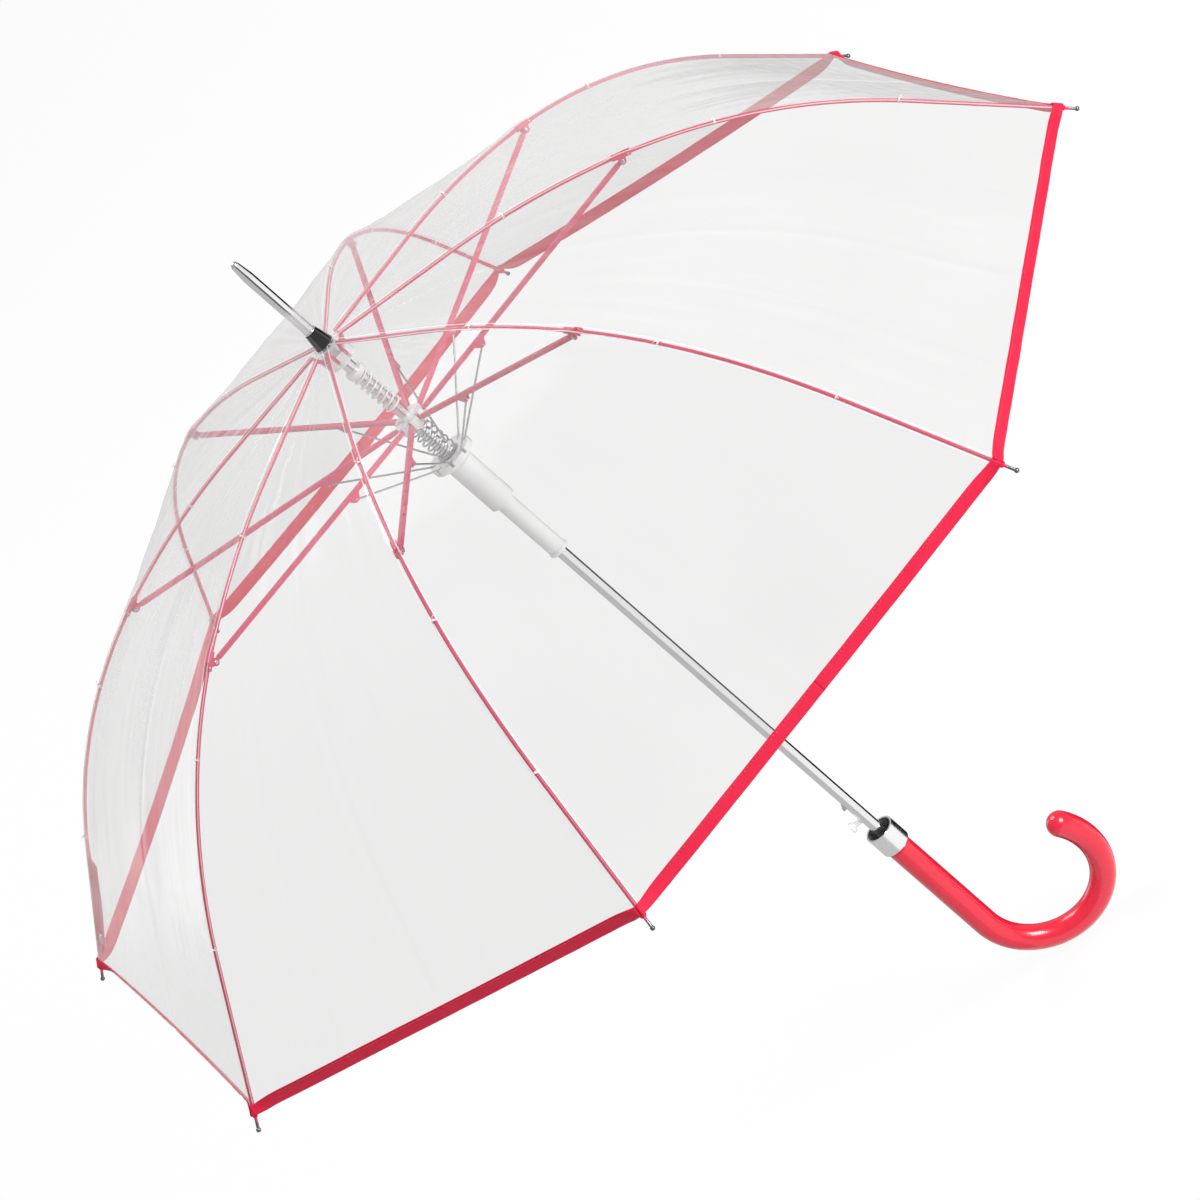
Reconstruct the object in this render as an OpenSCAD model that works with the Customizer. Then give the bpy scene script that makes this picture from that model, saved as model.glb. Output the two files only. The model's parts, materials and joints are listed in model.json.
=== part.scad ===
// Clear bubble umbrella with an automatic opening frame and a crook handle.
// Upright as it is held in use: +Z runs up the shaft to the ferrule,
// +X is the side on which the crook's free end stands. The origin is on the
// shaft's axis, in the straight grip where the hand holds it. Heights of the frame are
// counted from the crown, where the ribs meet the shaft.

/* [Shaft] */
// Height of the crown above the origin in the grip
crown_z = 717; // [700:1:730]
// Outer diameter of the shaft tube
shaft_d = 10; // [9.6:0.1:10]
// Wall of the shaft tube
tube_wall = 0.8; // [0.6:0.1:1]
// Depth of the tube's lower end in the handle, below the origin
shaft_foot = 28; // [20:1:32]
// Diameter of the ferrule rod
ferrule_d = 9.4; // [8.6:0.1:9.5]
// Height of the ferrule's rounded end above the crown
ferrule_tip_z = 102; // [95:1:110]
// Height of the ring at the ferrule's foot above the crown
ferrule_foot_z = 19; // [16:0.5:20]
// Length of the ferrule's tapered end
ferrule_taper = 17; // [12:0.5:20]
// Diameter of the ferrule cup at its flared mouth
cup_d = 16.5; // [15:0.5:18]

/* [Notch and hub] */
// Radius of the circle of pivots in the notch and in the hub
pivot_r = 10; // [10:0.1:10.4]
// Depth of the notch's pivots below the crown
notch_drop = 10; // [9.5:0.1:10.5]
// Outer radius of the notch and of the hub
notch_r = 13.2; // [12.8:0.1:13.5]
// Width of a slot for a rib's root
rib_slot = 3.3; // [3.3:0.05:3.5]
// Width of a slot for a stretcher's end
stretcher_slot = 2.8; // [2.7:0.05:3]
// Diameter of the tie wire rings
ring_wire_d = 1.1; // [0.9:0.05:1.1]

/* [Ribs] */
// Diameter of a rib rod
rod_d = 3; // [2.6:0.1:3]
// Distance from a notch pivot to the rivet of the rib's clip
rib_inner_len = 255; // [250:1:258]
// Angle of the notch to rivet line below the horizontal when open
open_droop = 9; // [8.6:0.1:9.4]
// Slope of the rib where it leaves the crown
slope_root = 7; // [6:0.5:8]
// Slope of the rib at the clip
slope_clip = 20.5; // [20:0.5:21]
// Slope of the rib at its tip
slope_tip = 49; // [47:0.5:51]
// Bend radius of the rib between crown and clip
bend_inner = 640; // [600:10:680]
// Bend radius of the rib outside the clip
bend_outer = 450; // [430:5:470]
// Straight length of rod at the rim
rib_tail = 118; // [100:1:130]
// Diameter of the ball at a rib's end
ball_d = 3.8; // [3.4:0.1:5]
// Reach of the ball beyond the canopy's corner
ball_reach = 10; // [7:0.5:12]
// Height of the rod over the rivet in the clip
rod_rise = 4.2; // [4.2:0.1:4.5]

/* [Stretchers and struts] */
// Width of the stretcher channel
channel_w = 3.6; // [3.4:0.1:3.8]
// Depth of the stretcher channel
channel_h = 3.4; // [3.2:0.1:3.6]
// Distance of the lug from the hub pivot along the stretcher
lug_reach = 73; // [70:1:76]
// Distance of the lug's pin below the stretcher's middle line
lug_drop = 5; // [5:0.1:5.4]
// Diameter of a wire strut
wire_d = 1.6; // [1.4:0.1:1.8]
// Height of the runner's wire seats below the hub's pivots
runner_drop = 43; // [42:0.5:44]
// Radius of the circle of wire seats in the runner
seat_r = 15; // [14.5:0.1:15.5]

/* [Runner and springs] */
// Outer radius of the runner's rim
rim_r = 19.5; // [18:0.5:20]
// Outer radius of the runner's spring pocket
pocket_r = 11.6; // [11.4:0.1:12]
// Length of the spring pocket below the seats
pocket_len = 58; // [54:1:62]
// Outer radius of the runner's lower sleeve
sleeve_r = 8; // [7.8:0.1:8.2]
// Length of the lower sleeve under the spring pocket
sleeve_len = 64; // [60:1:66]
// Wire diameter of the main spring
spring_wire = 1.6; // [1.4:0.1:1.6]
// Coils of the main spring
spring_coils = 17; // [14:1:18]
// Coils of the buffer spring
buffer_coils = 8; // [6:1:9]

/* [Canopy] */
// Thickness of the clear film
film_t = 0.3; // [0.2:0.05:0.4]
// Clearance between the rods and the film
film_gap = 0.4; // [0.3:0.05:0.6]
// Extra height of the film where it passes over a rib's clip
film_tent = 1.4; // [1.3:0.05:1.8]
// Depth of the film's sag between two ribs, as a share of the radius
film_sag = 0.006; // [0:0.001:0.01]
// Steps of the film across half a panel
film_steps = 6; // [4:1:8]

/* [Handle and catch] */
// Diameter of the crook handle
grip_d = 22; // [20:0.5:24]
// Height of the straight grip's upper end above the origin
grip_top = 62; // [58:1:63]
// Depth of the crook's start below the origin
crook_start = 51; // [46:1:54]
// Radius of the crook's middle line
crook_r = 56; // [48:0.5:60]
// Turn of the crook
crook_turn = 209; // [190:1:215]
// Outer diameter of the collar cup
collar_d = 26.5; // [25:0.5:28]
// Length of the collar cup
collar_len = 21; // [18:0.5:22]
// Wall of the collar cup
collar_wall = 1.6; // [1.2:0.1:2]
// Height of the push button above the collar's mouth
button_up = 17; // [14:0.5:18]
// Height of the catch above the collar's mouth
catch_up = 38; // [35:0.5:39]
// Diameter of the push button's stem
button_d = 4.4; // [4:0.1:4.6]
// Diameter of the push button's flared end
button_end_d = 9.2; // [8:0.1:10]

/* [Hidden] */
$fn = 48;

film_color = [0.93, 0.95, 0.96, 0.25];
frame_red = [0.80, 0.16, 0.26];
clear_white = [0.93, 0.94, 0.95, 0.6];
steel = [0.78, 0.79, 0.80];

rib_count = 8;
rib_pitch = 360 / rib_count;
clearance = 0.05;
shaft_r = shaft_d / 2;
rod_r = rod_d / 2;
straight_d = rod_d + 0.1;
fit_bore_r = shaft_r + clearance;
slide_bore_r = shaft_r + 0.1;
barrel_r = 7.2;

// Points in a rib's own plane: [distance from the axis, height over the crown]
clip_pt = [pivot_r + rib_inner_len * cos(open_droop), -notch_drop - rib_inner_len * sin(open_droop)];
notch_pt = [pivot_r, -notch_drop];
hub_pt = [pivot_r, -notch_drop - 2 * rib_inner_len * sin(open_droop)];
hub_z = hub_pt[1];
rod_clip_pt = clip_pt + rod_rise * slope_normal(slope_clip);
inner_centre = rod_clip_pt - bend_inner * slope_normal(slope_clip);
outer_centre = rod_clip_pt - bend_outer * slope_normal(slope_clip);
inner_start_pt = inner_centre + bend_inner * slope_normal(slope_root);
outer_end_pt = outer_centre + bend_outer * slope_normal(slope_tip);
tip_pt = outer_end_pt + rib_tail * slope_along(slope_tip);
ball_pt = tip_pt + ball_reach * slope_along(slope_tip);
root_r = 15.5;
root_pt = inner_start_pt - (inner_start_pt[0] - root_r) / cos(slope_root) * slope_along(slope_root);
flex_reach = 6;
slope_flex = slope_clip + flex_reach / bend_outer * 180 / PI;
flex_pt = outer_centre + bend_outer * slope_normal(slope_flex);

// Clip, in its own frame along the rod
sleeve_d = 5;
sleeve_back = 7;
sleeve_l = 9.4;
sleeve_front = sleeve_l - sleeve_back;
cheek_in = 1.35;
cheek_out = 2.55;
cheek_r = 3;
rivet_d = 1.9;
eye_r = 2.2;
eye_t = 2.2;
root_eye_t = 2.7;
tip_rod_d = 2.4;
fork_in = 1.9;
fork_out = 2.9;
fork_end = 8.2;
fork_start = 1.6;
fork_half = 1.7;
fork_reach = sleeve_front + 0.2;
rivet_head_r = 1.7;
rivet_head_t = 0.6;
flex_eye_r = 1.8;
flex_eye_t = 3.4;
flex_pin_d = 1.2;

// Stretcher
stretcher_len = rib_inner_len;
hub_tongue = 6.6;
clip_tongue = 5.6;
channel_wall = 0.6;
lug_half = 7;
lug_foot = 1.9;
lug_pin_d = 1.2;
wire_eye_r = 1.5;
wire_eye_t = 1.9;
seat_eye_r = 1.4;
seat_eye_t = 2;
tongue_h = 3;
lug_end = 1.6;
lug_pt = hub_pt + lug_reach * [cos(open_droop), sin(open_droop)]
  + lug_drop * [sin(open_droop), -cos(open_droop)];
seat_pt = [seat_r, hub_z - runner_drop];

// Runner
seat_z = seat_pt[1];
rim_up = 1.6;
rim_down = 4;
groove_w = 3;
groove_floor = 2.1;
spring_r = 8.7;
pocket_bore = 9.9;
pocket_floor_z = seat_z - pocket_len + 4;
spring_top_z = hub_z - 5.3;
spring_foot_z = pocket_floor_z + 0.2;
slot_w = 6.6;
slot_up = 61;
runner_foot_z = seat_z - pocket_len - sleeve_len;
buffer_top_z = -31;
buffer_len = 41;
buffer_r = 6.8;
buffer_wire = 1.4;

// Handle end
collar_z = grip_top;
mouth_z = collar_z + collar_len;
button_z = mouth_z + button_up;
catch_z = mouth_z + catch_up;
button_out = 15;
button_flange_r = 2.9;
catch_w = 2.4;
catch_h = 8;
catch_out = 2.8;
tube_bore_r = shaft_r - tube_wall;

// Unit vectors along a rib of a given slope, and at right angles above it
function slope_normal(a) = [sin(a), cos(a)];
function slope_along(a) = [cos(a), -sin(a)];

// Film: stations [slope, point on the rod's middle line] from crown to rim
film_in_r = 9.6;
tent_reach = 22;
seam_gap = 0.3;
film_lift = rod_r + film_gap;
crown_pt = inner_start_pt - (inner_start_pt[0] - film_in_r) / cos(slope_root) * slope_along(slope_root);
stations = concat(
  [for (i = [0:3]) [slope_root, crown_pt + i / 4 * (inner_start_pt - crown_pt)]],
  [for (i = [0:6]) let (a = slope_root + i / 6 * (slope_clip - slope_root))
    [a, inner_centre + bend_inner * slope_normal(a)]],
  [for (i = [1:10]) let (a = slope_clip + i / 10 * (slope_tip - slope_clip))
    [a, outer_centre + bend_outer * slope_normal(a)]],
  [for (i = [1:3]) [slope_tip, outer_end_pt + i / 3 * (tip_pt - outer_end_pt)]]
);

// Extra lift of the film round a rib's clip
function tent(p) = film_tent * max(0, 1 - norm(p - rod_clip_pt) / tent_reach);

// A point of the film: t runs from -1 to 1 across the gore, which stops short of its neighbour by seam_gap
function film_point(st, t, lift) =
  let (
    p = st[1] + (lift + tent(st[1])) * slope_normal(st[0]),
    u = abs(t) * (1 - seam_gap / (p[0] * sin(rib_pitch / 2))),
    sag = film_sag * p[0] * (1 - (1 - u) * (1 - u)),
    r = p[0] - sag * sin(st[0]),
    half = rib_pitch / 2
  )
  [r * (1 - u * sin(half) * sin(half)), sign(t) * u * r * sin(half) * cos(half), p[1] - sag * cos(st[0])];

// Placing: a rib's plane is XZ before it is turned about the shaft
module at_rib(k) translate([0, 0, crown_z]) rotate([0, 0, (k - 1) * rib_pitch]) children();
module at_crown() translate([0, 0, crown_z]) children();
module at_point(p) translate([p[0], 0, p[1]]) children();

module rod_line(p, q, d) {
  at_point(p) rotate([0, atan2(q[0] - p[0], q[1] - p[1]), 0]) cylinder(h = norm(q - p), d = d);
}

module rod_arc(c, r, a0, a1, d) {
  at_point(c) rotate([90, 0, 0]) rotate([0, 0, 90 - a1])
    rotate_extrude(angle = a1 - a0) translate([r, 0]) circle(d = d);
}

// A disc or pin across a rib's plane
module cross_pin(p, r, t) {
  at_point(p) rotate([90, 0, 0]) cylinder(h = t, r = r, center = true);
}

module ring_of_wire(r, z, d) {
  translate([0, 0, z]) rotate_extrude() translate([r, 0]) circle(d = d, $fn = 24);
}

// A coil of half turns, each tilted so that its ends meet the next ones
module coil(r, z0, length, turns, wire) {
  pitch = (length - wire) / turns;
  tilt = atan2(pitch / 2, 2 * r);
  arm = sqrt(r * r + pitch * pitch / 16);
  translate([0, 0, z0 + wire / 2])
    for (i = [0:2 * turns - 1])
      translate([0, 0, (i + 0.5) * pitch / 2])
        rotate([0, i % 2 == 0 ? tilt : -tilt, 0])
          rotate([0, 0, i % 2 == 0 ? 0 : 180]) {
            rotate_extrude(angle = 180) translate([arm, 0]) circle(d = wire, $fn = 20);
            translate([arm, 0, 0]) sphere(d = wire + 0.06, $fn = 20);
          }
}

module notched_body(z, up, down, slot) {
  difference() {
    translate([0, 0, z - down]) cylinder(h = up + down, r = notch_r);
    for (k = [1:rib_count])
      rotate([0, 0, (k - 1) * rib_pitch])
        translate([barrel_r, -slot / 2, z - down - 1])
          cube([notch_r, slot, up + down + 2]);
    translate([0, 0, z]) rotate_extrude() translate([pivot_r, 0]) circle(d = ring_wire_d + 0.1, $fn = 24);
  }
}

module rib_inner(k) {
  color(frame_red)
  at_rib(k) {
    difference() {
      union() {
        cross_pin(notch_pt, eye_r, root_eye_t);
        rod_line(notch_pt, root_pt, root_eye_t);
      }
      cross_pin(notch_pt, ring_wire_d / 2 + 0.2, 4);
    }
    at_point(root_pt) sphere(d = rod_d + 0.3);
    rod_line(root_pt, inner_start_pt + slope_along(slope_root), straight_d);
    rod_arc(inner_centre, bend_inner, slope_root, slope_clip, rod_d);
    at_point(clip_pt) rotate([0, slope_clip, 0]) clip();
  }
}

// Clip: sleeve on the rod, two cheeks with the stretcher's rivet, and a fork
module clip() {
  difference() {
    union() {
      translate([-sleeve_back, 0, rod_rise]) rotate([0, 90, 0]) cylinder(h = sleeve_l, d = sleeve_d);
      for (s = [-1, 1]) {
        translate([0, s * (cheek_in + cheek_out) / 2, 0]) rotate([90, 0, 0])
          cylinder(h = cheek_out - cheek_in, r = cheek_r, center = true);
        translate([-cheek_r, s * (cheek_in + cheek_out) / 2 - (cheek_out - cheek_in) / 2, 0])
          cube([2 * cheek_r, cheek_out - cheek_in, rod_rise]);
        translate([fork_start, s * (fork_in + fork_out) / 2 - (fork_out - fork_in) / 2, rod_rise - fork_half])
          cube([fork_end - fork_start, fork_out - fork_in, 2 * fork_half]);
      }
    }
    rotate([90, 0, 0]) cylinder(h = 2 * cheek_in, r = eye_r + 0.4, center = true);
    translate([fork_reach, -fork_in, rod_rise - cheek_r]) cube([fork_end, 2 * fork_in, 2 * cheek_r]);
  }
  rotate([90, 0, 0]) cylinder(h = 2 * cheek_out + 0.8, d = rivet_d, center = true);
  for (s = [-1, 1])
    translate([0, s * (cheek_out + rivet_head_t / 2), 0]) rotate([90, 0, 0])
      cylinder(h = rivet_head_t, r = rivet_head_r, center = true);
  translate([flex_reach, 0, rod_rise - flex_reach * flex_reach / bend_outer / 2])
    rotate([90, 0, 0]) cylinder(h = 2 * fork_out + 0.4, d = flex_pin_d, center = true);
}

module rib_outer(k) {
  color(frame_red)
  at_rib(k) {
    difference() {
      union() {
        cross_pin(flex_pt, flex_eye_r, flex_eye_t);
        rod_arc(outer_centre, bend_outer, slope_flex, slope_tip, rod_d);
      }
      cross_pin(flex_pt, flex_pin_d / 2 + clearance, 4);
    }
    rod_line(outer_end_pt - slope_along(slope_tip), tip_pt, straight_d);
    rod_line(tip_pt, ball_pt, tip_rod_d);
    at_point(ball_pt) sphere(d = ball_d);
  }
}

module stretcher(k) {
  color(frame_red)
  at_rib(k) at_point(hub_pt) rotate([0, -open_droop, 0]) {
    difference() {
      union() {
        rotate([90, 0, 0]) cylinder(h = eye_t, r = eye_r, center = true);
        translate([0, -eye_t / 2, -tongue_h / 2]) cube([hub_tongue + 2, eye_t, tongue_h]);
      }
      rotate([90, 0, 0]) cylinder(h = 4, r = ring_wire_d / 2 + 0.2, center = true);
    }
    difference() {
      union() {
        translate([stretcher_len, 0, 0]) rotate([90, 0, 0]) cylinder(h = eye_t, r = eye_r, center = true);
        translate([stretcher_len - clip_tongue - 2, -eye_t / 2, -tongue_h / 2])
          cube([clip_tongue + 2, eye_t, tongue_h]);
      }
      translate([stretcher_len, 0, 0]) rotate([90, 0, 0])
        cylinder(h = 4, d = rivet_d + 2 * clearance, center = true);
    }
    difference() {
      translate([hub_tongue, -channel_w / 2, -channel_h / 2])
        cube([stretcher_len - hub_tongue - clip_tongue, channel_w, channel_h]);
      translate([hub_tongue + 2, channel_wall - channel_w / 2, -channel_h])
        cube([
          stretcher_len - hub_tongue - clip_tongue - 4, channel_w - 2 * channel_wall,
          1.5 * channel_h - channel_wall
        ]);
    }
    for (s = [-1, 1])
      translate([lug_reach, s * (channel_w - channel_wall) / 2, 0]) rotate([90, 0, 0])
        linear_extrude(channel_wall, center = true)
          polygon([
            [-lug_half, 0], [lug_half, 0],
            [lug_foot, -lug_drop - lug_end], [-lug_foot, -lug_drop - lug_end]
          ]);
    translate([lug_reach, 0, -lug_drop]) rotate([90, 0, 0])
      cylinder(h = channel_w + 0.6, d = lug_pin_d, center = true);
  }
}

module wire(k) {
  color(steel)
  at_rib(k) {
    difference() {
      union() {
        cross_pin(lug_pt, wire_eye_r, wire_eye_t);
        rod_line(lug_pt, seat_pt, wire_d);
      }
      cross_pin(lug_pt, lug_pin_d / 2 + clearance, 4);
    }
    cross_pin(seat_pt, seat_eye_r, seat_eye_t);
  }
}

module film(k) {
  n = len(stations);
  m = 2 * film_steps + 1;
  layer = [for (lift = [film_lift, film_lift + film_t]) for (st = stations)
    for (j = [-film_steps:film_steps]) film_point(st, j / film_steps, lift)];
  size = n * m;
  quads = concat(
    [for (i = [0:n - 2]) for (j = [0:m - 2])
      [i * m + j, i * m + j + 1, (i + 1) * m + j + 1, (i + 1) * m + j]],
    [for (i = [0:n - 2]) for (j = [0:m - 2])
      [size + i * m + j, size + (i + 1) * m + j, size + (i + 1) * m + j + 1, size + i * m + j + 1]],
    [for (j = [0:m - 2]) [j, size + j, size + j + 1, j + 1]],
    [for (j = [0:m - 2])
      [(n - 1) * m + j, (n - 1) * m + j + 1, size + (n - 1) * m + j + 1, size + (n - 1) * m + j]],
    [for (i = [0:n - 2]) [i * m, (i + 1) * m, size + (i + 1) * m, size + i * m]],
    [for (i = [0:n - 2])
      [i * m + m - 1, size + i * m + m - 1, size + (i + 1) * m + m - 1, (i + 1) * m + m - 1]]
  );
  triangles = [for (q = quads) for (t = [[q[0], q[1], q[2]], [q[0], q[2], q[3]]]) t];
  color(film_color) at_rib(k) polyhedron(points = layer, faces = triangles);
}

module shaft_tube() {
  color(steel)
  difference() {
    translate([0, 0, -shaft_foot]) cylinder(h = crown_z + 2 + shaft_foot, r = shaft_r);
    translate([0, 0, -shaft_foot - 1]) cylinder(h = crown_z + 4 + shaft_foot, r = tube_bore_r);
    translate([-shaft_r, 0, button_z]) rotate([0, 90, 0]) cylinder(h = 4, d = button_d + 0.2, center = true);
    translate([-shaft_r - 1, -catch_w / 2 - 0.1, catch_z - catch_h / 2 - 0.2])
      cube([4, catch_w + 0.2, catch_h + 0.4]);
  }
}

module ferrule() {
  straight = ferrule_tip_z - ferrule_taper - ferrule_foot_z;
  end_r = 3.4;
  color(steel)
  at_crown() translate([0, 0, ferrule_foot_z]) {
    cylinder(h = straight, d = ferrule_d);
    translate([0, 0, straight]) cylinder(h = ferrule_taper - end_r, d1 = ferrule_d, r2 = end_r);
    translate([0, 0, straight + ferrule_taper - end_r]) sphere(r = end_r);
    translate([0, 0, 0.8]) rotate_extrude() translate([ferrule_d / 2, 0]) circle(r = 0.8, $fn = 24);
  }
}

module ferrule_cup() {
  foot = 2.6;
  color(steel)
  at_crown() difference() {
    union() {
      translate([0, 0, foot]) cylinder(h = 2.2, d = cup_d);
      translate([0, 0, foot + 2.2]) cylinder(h = ferrule_foot_z - foot - 2.3, d1 = cup_d, d2 = ferrule_d + 2);
    }
    translate([0, 0, foot - 1]) cylinder(h = 4, r = fit_bore_r + 0.5);
    translate([0, 0, foot - 1]) cylinder(h = 2.4, d = cup_d - 2.4);
  }
}

module canopy_washer() {
  washer_r = 13;
  color(clear_white)
  at_crown() difference() {
    translate([0, 0, 1.7]) cylinder(h = 0.7, r = washer_r);
    translate([0, 0, 1]) cylinder(h = 2, r = fit_bore_r);
  }
}

module top_notch() {
  color(clear_white)
  at_crown() difference() {
    union() {
      notched_body(-notch_drop, 4.5, 5, rib_slot);
      translate([0, 0, -notch_drop - 8]) cylinder(h = notch_drop + 7.5, r = barrel_r);
    }
    translate([0, 0, -notch_drop - 9]) cylinder(h = notch_drop + 12, r = fit_bore_r);
  }
}

module notch_ring() {
  color(steel) at_crown() ring_of_wire(pivot_r, -notch_drop, ring_wire_d);
}

module buffer_spring() {
  color(clear_white)
  at_crown() coil(buffer_r, buffer_top_z - buffer_len, buffer_len, buffer_coils, buffer_wire);
}

module spring_stop() {
  color(clear_white)
  at_crown() difference() {
    translate([0, 0, buffer_top_z + 0.1]) cylinder(h = 4, r = buffer_r + 1.4);
    translate([0, 0, buffer_top_z - 1]) cylinder(h = 6, r = fit_bore_r);
  }
}

module hub() {
  color(clear_white)
  at_crown() difference() {
    union() {
      notched_body(hub_z, 4.4, 5, stretcher_slot);
      translate([0, 0, hub_z - 8]) cylinder(h = 15, r = barrel_r);
    }
    translate([0, 0, hub_z - 9]) cylinder(h = 18, r = slide_bore_r);
  }
}

module hub_ring() {
  color(steel) at_crown() ring_of_wire(pivot_r, hub_z, ring_wire_d);
}

module main_spring() {
  color(steel)
  at_crown() coil(spring_r, spring_foot_z, spring_top_z - spring_foot_z, spring_coils, spring_wire);
}

module lower_runner() {
  color(clear_white)
  at_crown() difference() {
    union() {
      translate([0, 0, seat_z - rim_down]) cylinder(h = rim_down + rim_up, r = rim_r);
      translate([0, 0, seat_z - rim_down - 5]) cylinder(h = 5, r1 = pocket_r, r2 = rim_r - 2);
      translate([0, 0, seat_z - pocket_len]) cylinder(h = pocket_len, r = pocket_r);
      translate([0, 0, runner_foot_z]) cylinder(h = sleeve_len + 1, r = sleeve_r);
      translate([0, 0, runner_foot_z]) cylinder(h = 3, r = sleeve_r + 0.8);
    }
    translate([0, 0, runner_foot_z - 1]) cylinder(h = sleeve_len + pocket_len + 10, r = slide_bore_r);
    translate([0, 0, pocket_floor_z]) cylinder(h = pocket_len + 10, r = pocket_bore);
    for (k = [1:rib_count])
      rotate([0, 0, (k - 1) * rib_pitch])
        translate([seat_r - 2, -groove_w / 2, seat_z - groove_floor])
          cube([rim_r, groove_w, groove_floor + rim_up + 1]);
    translate([-rim_r, -slot_w / 2, runner_foot_z - 1]) cube([rim_r, slot_w, slot_up + 1]);
  }
}

module collar() {
  floor_t = 2;
  color(steel)
  difference() {
    translate([0, 0, collar_z]) cylinder(h = collar_len, d = collar_d);
    translate([0, 0, collar_z + floor_t]) cylinder(h = collar_len, d = collar_d - 2 * collar_wall);
    translate([0, 0, collar_z - 1]) cylinder(h = collar_len, r = fit_bore_r);
  }
}

module handle() {
  end_angle = crook_turn - 180;
  color(frame_red)
  difference() {
    union() {
      translate([0, 0, -crook_start])
        cylinder(h = crook_start + grip_top - clearance, d = grip_d + 0.1);
      translate([crook_r, 0, -crook_start]) rotate([90, 0, 0]) rotate([0, 0, 180])
        rotate_extrude(angle = crook_turn) translate([crook_r, 0]) circle(d = grip_d);
      translate([crook_r + crook_r * cos(end_angle), 0, crook_r * sin(end_angle) - crook_start])
        sphere(d = grip_d + 0.2);
    }
    translate([0, 0, -shaft_foot - 0.2]) cylinder(h = shaft_foot + grip_top + 1, r = fit_bore_r);
  }
}

module push_button() {
  color(clear_white)
  translate([0, 0, button_z]) rotate([0, -90, 0]) {
    translate([0, 0, 2.2]) cylinder(h = 0.8, r = button_flange_r);
    translate([0, 0, 2.2]) cylinder(h = button_out - 4.2, d = button_d);
    translate([0, 0, button_out - 5]) cylinder(h = 3.6, d1 = button_d, d2 = button_end_d);
    translate([0, 0, button_out - 1.4]) cylinder(h = 1.4, d = button_end_d);
  }
}

module button_spring() {
  coil_len = 5.6;
  color(steel) translate([3.55, 0, button_z]) rotate([0, -90, 0]) coil(1.6, 0, coil_len, 4, 0.5);
}

module catch_lug() {
  back = 0.4;
  color(steel)
  translate([0, catch_w / 2, catch_z]) rotate([90, 0, 0]) linear_extrude(catch_w)
    polygon([
      [back, catch_h / 2], [-shaft_r, catch_h / 2], [-shaft_r - catch_out, -catch_h / 2 + 2.4],
      [-shaft_r - catch_out, -catch_h / 2], [back, -catch_h / 2]
    ]);
}

// Closing strap, lying under the film beside the tail of one rib
module tie_strap() {
  strap_w = 16;
  strap_l = 84;
  strap_t = 0.8;
  color(frame_red)
  at_rib(5) at_point(outer_end_pt) rotate([0, slope_tip, 0])
    rotate([-18, 0, 0]) translate([10, 3.4, -0.6]) cube([strap_l, strap_w, strap_t]);
}

// One module for each repeated piece
module rib_inner_1() rib_inner(1);
module rib_inner_2() rib_inner(2);
module rib_inner_3() rib_inner(3);
module rib_inner_4() rib_inner(4);
module rib_inner_5() rib_inner(5);
module rib_inner_6() rib_inner(6);
module rib_inner_7() rib_inner(7);
module rib_inner_8() rib_inner(8);
module rib_outer_1() rib_outer(1);
module rib_outer_2() rib_outer(2);
module rib_outer_3() rib_outer(3);
module rib_outer_4() rib_outer(4);
module rib_outer_5() rib_outer(5);
module rib_outer_6() rib_outer(6);
module rib_outer_7() rib_outer(7);
module rib_outer_8() rib_outer(8);
module stretcher_1() stretcher(1);
module stretcher_2() stretcher(2);
module stretcher_3() stretcher(3);
module stretcher_4() stretcher(4);
module stretcher_5() stretcher(5);
module stretcher_6() stretcher(6);
module stretcher_7() stretcher(7);
module stretcher_8() stretcher(8);
module wire_1() wire(1);
module wire_2() wire(2);
module wire_3() wire(3);
module wire_4() wire(4);
module wire_5() wire(5);
module wire_6() wire(6);
module wire_7() wire(7);
module wire_8() wire(8);
module film_1() film(1);
module film_2() film(2);
module film_3() film(3);
module film_4() film(4);
module film_5() film(5);
module film_6() film(6);
module film_7() film(7);
module film_8() film(8);

shaft_tube();
ferrule();
ferrule_cup();
canopy_washer();
top_notch();
notch_ring();
buffer_spring();
spring_stop();
collar();
handle();
rib_inner_1();
rib_inner_2();
rib_inner_3();
rib_inner_4();
rib_inner_5();
rib_inner_6();
rib_inner_7();
rib_inner_8();
rib_outer_1();
rib_outer_2();
rib_outer_3();
rib_outer_4();
rib_outer_5();
rib_outer_6();
rib_outer_7();
rib_outer_8();
stretcher_1();
stretcher_2();
stretcher_3();
stretcher_4();
stretcher_5();
stretcher_6();
stretcher_7();
stretcher_8();
wire_1();
wire_2();
wire_3();
wire_4();
wire_5();
wire_6();
wire_7();
wire_8();
film_1();
film_2();
film_3();
film_4();
film_5();
film_6();
film_7();
film_8();
hub();
hub_ring();
main_spring();
lower_runner();
push_button();
button_spring();
catch_lug();
tie_strap();
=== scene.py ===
"""Looks of a clear bubble umbrella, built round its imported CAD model."""

import json
import math

import bmesh
import bpy
import numpy as np
from mathutils import Matrix, Vector


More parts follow.
